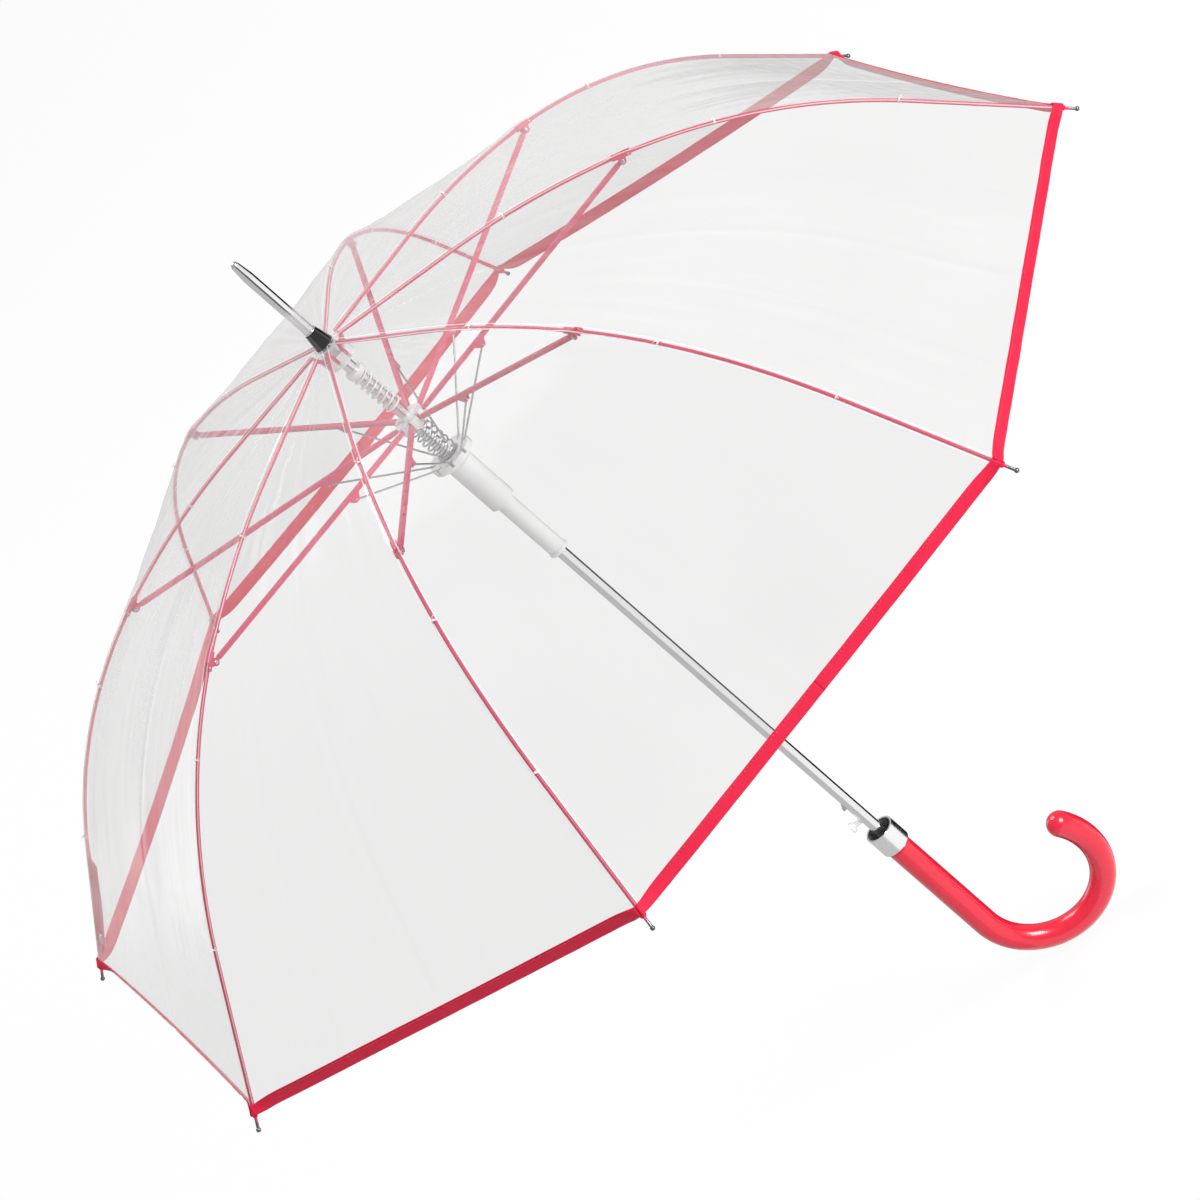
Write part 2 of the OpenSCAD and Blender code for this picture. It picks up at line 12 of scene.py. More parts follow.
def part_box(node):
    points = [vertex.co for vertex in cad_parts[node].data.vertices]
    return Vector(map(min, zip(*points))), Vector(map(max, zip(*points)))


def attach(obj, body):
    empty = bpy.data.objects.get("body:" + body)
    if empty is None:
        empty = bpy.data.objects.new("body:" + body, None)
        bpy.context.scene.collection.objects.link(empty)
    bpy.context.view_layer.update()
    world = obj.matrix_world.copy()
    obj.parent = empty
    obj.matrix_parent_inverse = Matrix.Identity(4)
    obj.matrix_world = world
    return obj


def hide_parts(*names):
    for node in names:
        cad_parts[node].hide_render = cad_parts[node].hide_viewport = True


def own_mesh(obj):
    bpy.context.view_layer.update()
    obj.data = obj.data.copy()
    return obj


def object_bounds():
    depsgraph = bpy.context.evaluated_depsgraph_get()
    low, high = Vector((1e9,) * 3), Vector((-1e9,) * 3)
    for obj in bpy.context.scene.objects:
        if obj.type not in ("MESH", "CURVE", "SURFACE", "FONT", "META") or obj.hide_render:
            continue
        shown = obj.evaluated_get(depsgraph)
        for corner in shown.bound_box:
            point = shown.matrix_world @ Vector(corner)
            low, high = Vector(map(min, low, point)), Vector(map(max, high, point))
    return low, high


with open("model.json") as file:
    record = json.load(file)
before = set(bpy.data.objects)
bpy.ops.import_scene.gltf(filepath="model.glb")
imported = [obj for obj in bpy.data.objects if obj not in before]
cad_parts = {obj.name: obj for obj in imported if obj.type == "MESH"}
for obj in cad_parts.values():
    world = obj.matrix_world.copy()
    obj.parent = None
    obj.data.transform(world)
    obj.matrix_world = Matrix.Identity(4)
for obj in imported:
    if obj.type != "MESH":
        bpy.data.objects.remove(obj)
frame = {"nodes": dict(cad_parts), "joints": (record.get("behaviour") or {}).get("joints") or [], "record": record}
cad_low, cad_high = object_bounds()

MM = 0.001
RIB_COUNT = 8
RIBS = range(1, RIB_COUNT + 1)
PITCH = 2 * math.pi / RIB_COUNT
SIN_H = math.sin(PITCH / 2)
COS_H = math.cos(PITCH / 2)

# ---------------------------------------------------------------- the rib's line
# Points are [distance from the shaft's axis, height], in metres.
JOINTS = {j["name"]: j for j in frame["joints"]}


def plane_point(joint):
    x, y, z = JOINTS[joint]["pos_m"]
    return np.array([math.hypot(x, y), z])


CLIP_PT = plane_point("stretcher_1_pivot")
FLEX_PT = plane_point("rib_1_flex")
LUG_PT = plane_point("wire_1_pivot")

# The rod runs straight from the crown, bends at two radii and ends in a straight tail
SLOPE_ROOT = math.radians(7)
SLOPE_CLIP = math.radians(20.5)
SLOPE_TIP = math.radians(49)
BEND_INNER = 640 * MM
BEND_OUTER = 450 * MM
RIB_TAIL = 118 * MM
# The rod's middle line stands this far over the clip's pivot
ROD_RISE = 4.2 * MM
# The film's upper strip ends this far past the clip, where the rib bends, and the middle strip this far
BEND_PAST_CLIP = 6 * MM
SPLIT_PAST_CLIP = 130 * MM
# The film's inner edge, its height over the rod's middle line, and its sag as a share of the radius
FILM_IN_R = 9.6 * MM
FILM_LIFT = 1.9 * MM
FILM_SAG = 0.006
# The clips push the film up into low tents
TENT = 1.4 * MM
TENT_LONG = 14 * MM
TENT_WIDE = 20 * MM
# The taped rim, how steeply it hangs and how fast that starts away from a rib
HEM_DEPTH = 11 * MM
HEM_BEND = math.radians(34)
HEM_BEND_REACH = 12 * MM
HEM_BEND_START = 4 * MM


def slope_normal(a):
    return np.stack([np.sin(a), np.cos(a)], -1)


def slope_along(a):
    return np.stack([np.cos(a), -np.sin(a)], -1)


ROD_CLIP = CLIP_PT + ROD_RISE * slope_normal(SLOPE_CLIP)
INNER_C = ROD_CLIP - BEND_INNER * slope_normal(SLOPE_CLIP)
OUTER_C = ROD_CLIP - BEND_OUTER * slope_normal(SLOPE_CLIP)
INNER_START = INNER_C + BEND_INNER * slope_normal(SLOPE_ROOT)
OUTER_END = OUTER_C + BEND_OUTER * slope_normal(SLOPE_TIP)
LEN_ROOT = (INNER_START[0] - FILM_IN_R) / math.cos(SLOPE_ROOT)
CROWN_PT = INNER_START - LEN_ROOT * slope_along(SLOPE_ROOT)
S_CLIP = LEN_ROOT + BEND_INNER * (SLOPE_CLIP - SLOPE_ROOT)
S_FLEX = S_CLIP + BEND_PAST_CLIP
S_TAIL = S_CLIP + BEND_OUTER * (SLOPE_TIP - SLOPE_CLIP)
S_TIP = S_TAIL + RIB_TAIL
S_SPLIT = S_CLIP + SPLIT_PAST_CLIP
S_HEM = S_TIP - HEM_DEPTH


def rod(s):
    """Point and slope of the rib's middle line at a distance s down it."""
    s = np.asarray(s, float)
    slope = np.select(
        [s < LEN_ROOT, s < S_CLIP, s < S_TAIL],
        [
            np.full_like(s, SLOPE_ROOT),
            SLOPE_ROOT + (s - LEN_ROOT) / BEND_INNER,
            SLOPE_CLIP + (s - S_CLIP) / BEND_OUTER,
        ],
        SLOPE_TIP,
    )
    root = CROWN_PT + s[..., None] * slope_along(SLOPE_ROOT)
    inner = INNER_C + BEND_INNER * slope_normal(slope)
    outer = OUTER_C + BEND_OUTER * slope_normal(slope)
    tail = OUTER_END + (s - S_TAIL)[..., None] * slope_along(SLOPE_TIP)
    on = [(s < x)[..., None] for x in (LEN_ROOT, S_CLIP, S_TAIL)]
    return np.select(on, [root, inner, outer], tail), slope


# ---------------------------------------------------------------- the film's surface
def smooth(x):
    x = np.clip(x, 0, 1)
    return x * x * (3 - 2 * x)


def lattice(ix, iy, seed):
    """A fixed value from -1 to 1 at each point of a lattice."""
    h = (ix * 374761393 + iy * 668265263 + seed * 974634777) & 0xFFFFFFFF
    h = ((h ^ (h >> 13)) * 1274126177) & 0xFFFFFFFF
    return ((h ^ (h >> 16)) & 0xFFFF) / 32767.5 - 1


def ring_noise(turn, along, count, seed):
    """Smooth noise that closes on itself after one turn, with count cells in it."""
    x = turn * count
    ix = np.floor(x).astype(np.int64)
    iy = np.floor(along).astype(np.int64)
    fx, fy = smooth(x - ix), smooth(along - iy)
    a = lattice(ix % count, iy, seed)
    b = lattice((ix + 1) % count, iy, seed)
    c = lattice(ix % count, iy + 1, seed)
    d = lattice((ix + 1) % count, iy + 1, seed)
    return (a * (1 - fx) + b * fx) * (1 - fy) + (c * (1 - fx) + d * fx) * fy


def film_base(s, u, side):
    """The unwrinkled film in a rib's own frame. u is 0 on the rib and 1 half way to the next."""
    p, a = rod(s)
    wide = p[..., 0] * SIN_H * u
    tent = TENT * np.exp(-(((s - S_CLIP) / TENT_LONG) ** 2) - (wide / TENT_WIDE) ** 2)
    p = p + (FILM_LIFT + tent)[..., None] * slope_normal(a)
    sag = FILM_SAG * p[..., 0] * (1 - (1 - u) ** 2)
    r = p[..., 0] - sag * np.sin(a)
    x = r * (1 - u * SIN_H**2)
    y = side * u * r * SIN_H * COS_H
    point = np.stack([x, y, p[..., 1] - sag * np.cos(a)], -1)
    # away from the ribs the taped rim hangs more steeply than the film above it
    fall = np.arctan2(np.tan(a), COS_H)
    down = np.stack([COS_H * np.cos(fall), side * SIN_H * np.cos(fall), -np.sin(fall)], -1)
    outward = np.stack([COS_H * np.sin(fall), side * SIN_H * np.sin(fall), np.cos(fall)], -1)
    over = np.maximum(s - S_HEM, 0)
    bend = HEM_BEND * (1 - np.exp(-((wide / HEM_BEND_REACH) ** 2))) * smooth(over / HEM_BEND_START)
    turn_in = (np.cos(bend) - 1)[..., None] * down - np.sin(bend)[..., None] * outward
    return point + over[..., None] * turn_in


# The film's edge draws back this much at a corner, over this width and length
CORNER_PULL = 2.4 * MM
CORNER_WIDE = 11 * MM
CORNER_LONG = 50 * MM


def rim_pull(s, u):
    """The film's edge draws back at each corner, under the gathered tape."""
    across = rod(s)[0][..., 0] * SIN_H * u
    near_rim = smooth((s - S_TIP + CORNER_LONG) / CORNER_LONG)
    return s - CORNER_PULL * np.exp(-((across / CORNER_WIDE) ** 2)) * near_rim


# Steps down the rib and across the panel, for slopes of the surface
STEP_S = 0.2 * MM
STEP_U = 0.002


def surface_normal(surface, s, u, side):
    ds = surface(s + STEP_S, u, side) - surface(s - STEP_S, u, side)
    du = surface(s, u + STEP_U, side) - surface(s, u - STEP_U, side)
    n = np.cross(ds, du) * side
    return n / np.linalg.norm(n, axis=-1, keepdims=True)


# Relief of the film: height in millimetres, cell length in metres, cells in one turn, seed
PATCH = (0.8, 0.16, 12, 3)
STREAK = (0.34, 0.085, 168, 5)
FINE_STREAK = (0.16, 0.045, 336, 7)
BUCKLE = (0.95, 0.11, 48, 11)
PUCKER = (0.42, 0.013, 64, 13)
PUCKER_REACH = 13 * MM
# Fold lines pressed in by storage: height in millimetres and half width
MID_FOLD = (-0.55, 3.5 * MM)
SIDE_FOLD = (0.32, 3 * MM)
SIDE_FOLD_AT = 0.52
# The film lies flat this near a rib, the crown and the rim
CALM_RIB = 6 * MM
CALM_END = 30 * MM


def relief(turn, s, kind):
    height, length, cells, seed = kind
    return height * ring_noise(turn, s / length, cells, seed)


def fold_line(distance, kind):
    height, half = kind
    return height * np.exp(-((distance / half) ** 2))


def wrinkles(s, u, side, azimuth):
    """How far the film stands off its smooth shape: fold creases, buckles and fine streaks."""
    point = film_base(s, u, side)
    turn = (np.arctan2(point[..., 1], point[..., 0]) + azimuth) / (2 * math.pi) % 1.0
    wide = point[..., 0] * SIN_H
    from_rib = u * wide
    patch = smooth(0.5 + relief(turn, s, PATCH))
    streak = relief(turn, s, STREAK) + relief(turn, s, FINE_STREAK)
    pucker = relief(turn, s, PUCKER) * np.exp(-from_rib / PUCKER_REACH)
    crease = fold_line((1 - u) * wide, MID_FOLD) + fold_line((u - SIDE_FOLD_AT) * wide, SIDE_FOLD) * patch
    hold = smooth(from_rib / CALM_RIB) * smooth(s / CALM_END) * smooth((S_TIP - s) / CALM_END)
    return MM * hold * (streak * (0.35 + 0.9 * patch) + relief(turn, s, BUCKLE) + pucker + crease)


def film_surface(azimuth):
    def surface(s, u, side):
        s = rim_pull(s, u)
        n = surface_normal(film_base, s, u, side)
        return film_base(s, u, side) + wrinkles(s, u, side, azimuth)[..., None] * n

    return surface


def turned(points, azimuth):
    """Points turned about the shaft's axis."""
    c, s = math.cos(azimuth), math.sin(azimuth)
    x, y, z = points[..., 0], points[..., 1], points[..., 2]
    return np.stack([x * c - y * s, x * s + y * c, z], -1)


# ---------------------------------------------------------------- mesh helpers
def mesh_object(name, verts, faces, materials, uvs=None, normals=None, picks=None):
    """Links a smooth mesh. picks gives each face its material, and normals sets the shading."""
    mesh = bpy.data.meshes.new(name)
    mesh.from_pydata(np.asarray(verts, float).reshape(-1, 3).tolist(), [], faces)
    for m in materials:
        mesh.materials.append(m)
    if uvs is not None:
        layer = mesh.uv_layers.new(name="cloth")
        index = np.zeros(len(mesh.loops), np.int32)
        mesh.loops.foreach_get("vertex_index", index)
        layer.data.foreach_set("uv", np.asarray(uvs, np.float32).reshape(-1, 2)[index].ravel())
    if picks is not None:
        mesh.polygons.foreach_set("material_index", np.asarray(picks, np.int32))
    mesh.polygons.foreach_set("use_smooth", np.ones(len(mesh.polygons), bool))
    if normals is not None:
        mesh.normals_split_custom_set_from_vertices(np.asarray(normals, float).reshape(-1, 3).tolist())
    mesh.update()
    obj = bpy.data.objects.new(name, mesh)
    bpy.context.scene.collection.objects.link(obj)
    return obj


def grid_faces(rows, cols, wrap=False, flip=False, first=0):
    """Quads over a grid of points; wrap closes each row on itself."""
    faces = []
    for i in range(rows - 1):
        for j in range(cols if wrap else cols - 1):
            k = (j + 1) % cols
            q = [i * cols + j, i * cols + k, (i + 1) * cols + k, (i + 1) * cols + j]
            q = [first + v for v in q]
            faces.append(q[::-1] if flip else q)
    return faces


class Build:
    """Collects parts of one mesh, each with its own material."""

    def __init__(self):
        self.verts, self.faces, self.uvs, self.picks, self.count = [], [], [], [], 0

    def grid(self, points, caps=False, flip=False, uv=None, pick=0):
        """Adds rings of points, closed at both ends if caps is set; flip turns the faces over."""
        points = np.asarray(points, float)
        rows, cols = points.shape[:2]
        faces = grid_faces(rows, cols, wrap=True, flip=flip, first=self.count)
        if caps:
            start = [self.count + j for j in range(cols)]
            end = [self.count + (rows - 1) * cols + j for j in range(cols)]
            faces += [start if flip else start[::-1], end[::-1] if flip else end]
        if uv is None:
            uv = np.zeros((rows, cols, 2))
        self.verts.append(points.reshape(-1, 3))
        self.uvs.append(np.asarray(uv, float).reshape(-1, 2))
        self.faces += faces
        self.picks += [pick] * len(faces)
        self.count += rows * cols

    def make(self, name, materials):
        verts, uvs = np.concatenate(self.verts), np.concatenate(self.uvs)
        obj = mesh_object(name, verts, self.faces, materials, uvs, picks=self.picks)
        work = bmesh.new()
        work.from_mesh(obj.data)
        bmesh.ops.recalc_face_normals(work, faces=work.faces)
        work.to_mesh(obj.data)
        work.free()
        return obj


X_DIR = np.array([1.0, 0.0, 0.0])
Y_DIR = np.array([0.0, 1.0, 0.0])
Z_DIR = np.array([0.0, 0.0, 1.0])


def circle(sides):
    """Angles of the points round a closed ring."""
    return np.linspace(0, 2 * math.pi, sides, endpoint=False)


def ring_points(centre, radius, turn, side, up):
    return centre + radius * (np.cos(turn)[:, None] * side + np.sin(turn)[:, None] * up)


def directions(path):
    along = np.gradient(path, axis=0)
    return along / np.linalg.norm(along, axis=1, keepdims=True)


def tube_points(path, radius, sides):
    """Rings of a tube along a path, turned as little as possible from ring to ring."""
    path = np.asarray(path, float)
    along = directions(path)
    side = np.cross(along[0], Z_DIR)
    if np.linalg.norm(side) < 0.1:
        side = np.cross(along[0], Y_DIR)
    rings = []
    for p, t in zip(path, along):
        side = side - np.dot(side, t) * t
        side /= np.linalg.norm(side)
        rings.append(ring_points(p, radius, circle(sides), side, np.cross(t, side)))
    return np.array(rings)


def rib_frame(k):
    """Axes of a rib: outward, sideways and up."""
    c, s = math.cos((k - 1) * PITCH), math.sin((k - 1) * PITCH)
    return np.array([c, s, 0]), np.array([-s, c, 0]), Z_DIR


def in_rib(k, r, y, z):
    """From distance outward, sideways and up in a rib's frame to the row frame."""
    out, across, up = rib_frame(k)
    r, y, z = (np.asarray(v, float)[..., None] for v in (r, y, z))
    return r * out + y * across + z * up


# ---------------------------------------------------------------- materials
class Graph:
    """A material built from nodes."""

    def __init__(self, name):
        self.material = bpy.data.materials.new(name)
        self.material.use_nodes = True
        self.tree = self.material.node_tree
        self.tree.nodes.clear()

    def add(self, kind, inputs=None, **settings):
        n = self.tree.nodes.new("ShaderNode" + kind)
        for key, value in settings.items():
            setattr(n, key, value)
        for key, value in (inputs or {}).items():
            if isinstance(value, bpy.types.NodeSocket):
                self.tree.links.new(value, n.inputs[key])
            else:
                n.inputs[key].default_value = value
        return n

    def math(self, operation, a, b=0.0, clamp=False):
        return self.add("Math", {0: a, 1: b}, operation=operation, use_clamp=clamp).outputs[0]

    def scaled(self, value, factor):
        return self.math("MULTIPLY", value, factor)

    def mix(self, factor, a, b):
        # the colour sockets of the Mix node have these numbers
        return self.add("Mix", {0: factor, 6: a, 7: b}, data_type="RGBA").outputs[2]

    def place(self):
        return self.add("TexCoord").outputs["Object"]

    def object_coord(self, scale):
        return self.add("Mapping", {"Vector": self.place(), "Scale": scale}).outputs[0]

    def from_axis(self, place):
        """Distance from the shaft's axis, and the height."""
        parts = self.add("SeparateXYZ", {"Vector": place}).outputs
        flat = self.add("CombineXYZ", {"X": parts[0], "Y": parts[1]}).outputs[0]
        return self.add("VectorMath", {0: flat}, operation="LENGTH").outputs["Value"], parts[2]

    def cloth(self):
        """The cloth's own coordinates, in metres: the vector, then across and along it."""
        vector = self.add("UVMap", {}, uv_map="cloth").outputs[0]
        parts = self.add("SeparateXYZ", {"Vector": vector}).outputs
        return vector, parts[0], parts[1]

    def noise(self, vector, scale, detail=3.0, rough=0.5):
        inputs = {"Vector": vector, "Scale": scale, "Detail": detail, "Roughness": rough}
        return self.add("TexNoise", inputs).outputs["Fac"]

    def span(self, value, low, high, to_low, to_high):
        inputs = {"Value": value, "From Min": low, "From Max": high, "To Min": to_low, "To Max": to_high}
        return self.add("MapRange", inputs).outputs[0]

    def bump(self, height, distance, strength, normal=None):
        inputs = {"Height": height, "Distance": distance, "Strength": strength}
        if normal is not None:
            inputs["Normal"] = normal
        return self.add("Bump", inputs).outputs[0]

    def shader(self, inputs):
        return self.add("BsdfPrincipled", inputs).outputs[0]

    def out(self, shader):
        self.add("OutputMaterial", {"Surface": shader})
        return self.material


def rgb(r, g, b):
    return (r, g, b, 1.0)


# The weld line beside each rib: where it starts, is full, starts to end and ends
WELD = (1.9 * MM, 2.6 * MM, 2.9 * MM, 3.6 * MM)


def film_material():
    """Clear film with haze at glancing angles, fine streaks, ripples near the ribs and a weld line."""
    g = Graph("clear_film_look")
    _, from_rib, down = g.cloth()
    streak_at = g.add("CombineXYZ", {"X": g.scaled(from_rib, 300.0), "Y": g.scaled(down, 14.0)})
    streaks = g.noise(streak_at.outputs[0], 1.0, 3.0, 0.6)
    ripple_at = g.add("CombineXYZ", {"X": g.scaled(from_rib, 45.0), "Y": g.scaled(down, 110.0)})
    ripples = g.noise(ripple_at.outputs[0], 1.0, 2.0, 0.5)
    near_rib = g.span(from_rib, 0.004, 0.05, 1.0, 0.12)
    normal = g.bump(streaks, 0.0006, 0.10)
    normal = g.bump(g.math("MULTIPLY", ripples, near_rib), 0.0009, 0.3, normal)
    seam_in = g.span(from_rib, WELD[0], WELD[1], 0.0, 1.0)
    seam_out = g.span(from_rib, WELD[2], WELD[3], 1.0, 0.0)
    weld = g.math("MULTIPLY", seam_in, seam_out)
    facing = g.add("LayerWeight", {"Blend": 0.42, "Normal": normal}).outputs["Facing"]
    rim = g.scaled(g.math("POWER", facing, 2.2), 0.64)
    cloud = g.span(g.noise(g.object_coord((1, 1, 1)), 7.0), 0.3, 0.7, 0.05, 0.09)
    haze = g.math("ADD", g.math("ADD", cloud, rim), g.scaled(weld, 0.42), clamp=True)
    clear = g.add("BsdfTransparent", {"Color": rgb(0.832, 0.832, 0.829)}).outputs[0]
    veil = g.add("BsdfTranslucent", {"Color": rgb(0.95, 0.95, 0.95), "Normal": normal}).outputs[0]
    gloss = g.shader(
        {
            "Base Color": rgb(0.95, 0.95, 0.95),
            "Roughness": g.span(ripples, 0.3, 0.7, 0.1, 0.2),
            "Specular IOR Level": 0.6,
            "IOR": 1.5,
            "Normal": normal,
        }
    )
    both = g.add("MixShader", {0: 0.2, 1: gloss, 2: veil}).outputs[0]
    return g.out(g.add("MixShader", {0: haze, 1: clear, 2: both}).outputs[0])


def enamel_material():
    """Red enamel on the ribs and stretchers, bare metal beyond the rim."""
    g = Graph("red_enamel_look")
    place = g.place()
    reach, _ = g.from_axis(place)
    bare = g.span(reach, TIP_BARE_R, TIP_BARE_R + 0.8 * MM, 0.0, 1.0)
    red = g.mix(g.noise(place, 60.0, 4.0), rgb(0.60, 0.014, 0.085), rgb(0.72, 0.026, 0.120))
    return g.out(
        g.shader(
            {
                "Base Color": g.mix(bare, red, rgb(0.20, 0.20, 0.21)),
                "Metallic": bare,
                "Roughness": g.span(g.noise(place, 240.0), 0.3, 0.7, 0.24, 0.38),
                "Specular IOR Level": 0.45,
                "Coat Weight": 0.15,
                "Coat Roughness": 0.12,
                "Normal": g.bump(g.noise(place, 1400.0, 2.0), 0.00006, 0.5),
            }
        )
    )


def clear_plastic_material():
    """Slightly milky clear plastic."""
    g = Graph("clear_plastic_look")
    coord = g.object_coord((1, 1, 1))
    milky = g.noise(coord, 90.0)
    return g.out(
        g.shader(
            {
                "Base Color": g.mix(milky, rgb(0.965, 0.967, 0.97), rgb(0.995, 0.995, 0.995)),
                "Roughness": g.span(g.noise(coord, 420.0, 2.0), 0.3, 0.7, 0.12, 0.24),
                "IOR": 1.47,
                "Transmission Weight": 0.3,
                "Normal": g.bump(g.noise(coord, 900.0, 2.0), 0.00006, 0.4),
            }
        )
    )


def metal_material(name, dark, light, rough, brush, coat=0.0):
    """Metal with fine lengthwise brushing, cloudy tone and a changing polish."""
    g = Graph(name)
    fine = g.noise(g.object_coord(brush), 1.0, 3.0, 0.6)
    cloud = g.noise(g.object_coord((1, 1, 1)), 35.0)
    return g.out(
        g.shader(
            {
                "Base Color": g.mix(cloud, dark, light),
                "Metallic": 1.0,
                "Roughness": g.span(fine, 0.25, 0.75, *rough),
                "Coat Weight": coat,
                "Coat Roughness": 0.04,
                "Normal": g.bump(fine, 0.00003, 0.35),
            }
        )
    )


# Thickness of the cup's wall, and half the height over the cup's bottom across which the painted shade inside it
# fades in
COLLAR_WALL = 1.2 * MM
COLLAR_FLOOR = 0.8 * MM


def collar_painted_shade_material():
    """Bright plated cup, with painted shade making its inside near black."""
    g = Graph("collar_painted_shade_look")
    reach, height = g.from_axis(g.place())
    cup_low, cup_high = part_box("collar")
    inside_r = cup_high.x - COLLAR_WALL
    inside = g.span(reach, inside_r - 0.5 * MM, inside_r, 1.0, 0.0)
    above = g.span(height, cup_low.z + COLLAR_FLOOR, cup_low.z + 2 * COLLAR_FLOOR, 0.0, 1.0)
    # painted shade: inside the cup, above its floor, the plating is made near black, less metallic and rougher
    dark = g.math("MULTIPLY", inside, above)
    fine = g.noise(g.object_coord((60, 60, 2400)), 1.0)
    return g.out(
        g.shader(
            {
                "Base Color": g.mix(dark, rgb(0.93, 0.93, 0.93), rgb(0.012, 0.012, 0.013)),
                "Metallic": g.math("SUBTRACT", 1.0, dark),
                "Roughness": g.math("ADD", g.span(fine, 0.25, 0.75, 0.16, 0.32), g.scaled(dark, 0.3)),
                "Normal": g.bump(fine, 0.00003, 0.3),
            }
        )
    )


def handle_material():
    """Glossy red plastic with faint scuffs."""
    g = Graph("handle_look")
    coord = g.object_coord((1, 1, 1))
    tone = g.noise(coord, 22.0, 4.0)
    scuff = g.noise(g.object_coord((300, 300, 60)), 1.0, 4.0, 0.7)
    return g.out(
        g.shader(
            {
                "Base Color": g.mix(tone, rgb(0.74, 0.005, 0.032), rgb(0.81, 0.011, 0.045)),
                "Roughness": g.span(scuff, 0.35, 0.75, 0.25, 0.30),
                "Specular IOR Level": 0.5,
                "Coat Weight": 0.65,
                "Coat Roughness": 0.09,
                "Normal": g.bump(g.noise(coord, 160.0, 2.0), 0.00008, 0.05),
            }
        )
    )


# Spacing of the ribbon's crosswise ribs and lengthwise yarns
WEFT_PITCH = 0.8 * MM
WARP_PITCH = 0.5 * MM


def tape_material():
    """Woven ribbon: crosswise ribs and lengthwise yarns in the cloth's own coordinates, with painted shade
    darkening the low grooves of the weave.
    """
    g = Graph("red_tape_look")
    uv, across, down = g.cloth()
    weft = g.math("SINE", g.scaled(across, 2 * math.pi / WEFT_PITCH))
    warp = g.math("SINE", g.scaled(down, 2 * math.pi / WARP_PITCH))
    weave = g.math("MULTIPLY", g.math("ADD", weft, 1.0), g.math("ADD", warp, 1.0))
    cloud = g.noise(g.object_coord((1, 1, 1)), 45.0, 4.0)
    slub = g.noise(g.add("Mapping", {"Vector": uv, "Scale": (120, 1800, 1)}).outputs[0], 1.0)
    base = g.mix(cloud, rgb(0.72, 0.008, 0.048), rgb(0.88, 0.019, 0.074))
    height = g.math("ADD", g.scaled(weave, 0.25), g.scaled(slub, 0.6))
    return g.out(
        g.shader(
            {
                # painted shade: the base colour turns dark red where the weave, which also sets the bump's height,
                # is low
                "Base Color": g.mix(g.span(weave, 0.0, 4.0, 0.35, 0.0), base, rgb(0.30, 0.004, 0.02)),
                "Roughness": g.span(slub, 0.3, 0.7, 0.48, 0.68),
                "Specular IOR Level": 0.22,
                "Normal": g.bump(height, 0.00014, 0.7),
            }
        )
    )


def thread_material(name, dark, light):
    """Matt twisted thread: its tone varies at random, and because the same noise sets the bump, its low twists
    also carry painted shade.
    """
    g = Graph(name)
    twist = g.noise(g.object_coord((1, 1, 1)), 2600.0, 2.0)
    return g.out(
        g.shader(
            {
                # partly random tone, partly painted shade: the noise that darkens the colour also lowers the bump
                "Base Color": g.mix(twist, dark, light),
                "Roughness": 0.7,
                "Sheen Weight": 0.3,
                "Normal": g.bump(twist, 0.00012, 0.8),
            }
        )
    )


TIP_PT, _ = rod(S_TIP)
# Beyond this radius the ribs' ends are bare metal
TIP_BARE_R = float(TIP_PT[0]) + 2.4 * MM

FILM = film_material()
ENAMEL = enamel_material()
CLEAR = clear_plastic_material()
CHROME_BRUSH, SHAFT_BRUSH, WIRE_BRUSH = (1400, 1400, 30), (1600, 1600, 12), (900, 900, 200)
CHROME = metal_material(
    "chrome_look", rgb(0.80, 0.80, 0.81), rgb(0.88, 0.88, 0.89), (0.03, 0.08), CHROME_BRUSH
)
SHAFT = metal_material(
    "shaft_look", rgb(0.80, 0.80, 0.805), rgb(0.90, 0.90, 0.905), (0.06, 0.15), SHAFT_BRUSH
)
# The ferrule's cup is chrome; its dark reflection is painted in as a near-black base colour
CUP_PAINTED_REFLECTION = metal_material(
    "chrome_painted_dark_reflection_look", rgb(0.05, 0.05, 0.053), rgb(0.11, 0.11, 0.113), (0.05, 0.12), CHROME_BRUSH, coat=0.7
)
WIRE = metal_material(
    "wire_look", rgb(0.50, 0.51, 0.53), rgb(0.68, 0.69, 0.70), (0.12, 0.24), WIRE_BRUSH
)
COLLAR_PAINTED_SHADE = collar_painted_shade_material()
HANDLE = handle_material()
TAPE = tape_material()
STITCH = thread_material("stitch_look", rgb(0.42, 0.008, 0.03), rgb(0.78, 0.04, 0.09))
TIE = thread_material("tie_look", rgb(0.70, 0.60, 0.62), rgb(0.92, 0.86, 0.87))

LOOKS = {
    "red_frame": ENAMEL,
    "clear_plastic": CLEAR,
    "chrome": CHROME,
    "shaft_steel": SHAFT,
    "spring_steel": WIRE,
    "red_handle": HANDLE,
    "red_webbing": TAPE,
    "clear_film": FILM,
}
OWN_LOOKS = {"collar": COLLAR_PAINTED_SHADE, "ferrule_cup": CUP_PAINTED_REFLECTION}
SLOT_OF = {p["node"]: p["material_slot"] for p in frame["record"]["subparts"]}
for node, solid in frame["nodes"].items():
    solid.data.materials.clear()
    solid.data.materials.append(OWN_LOOKS.get(node, LOOKS[SLOT_OF[node]]))

# ---------------------------------------------------------------- film panels
# How far the folds of each strip turn up from the ribs
FOLD_LIFT = {"upper": 0.03, "middle": 0.08, "rim": 0.05}


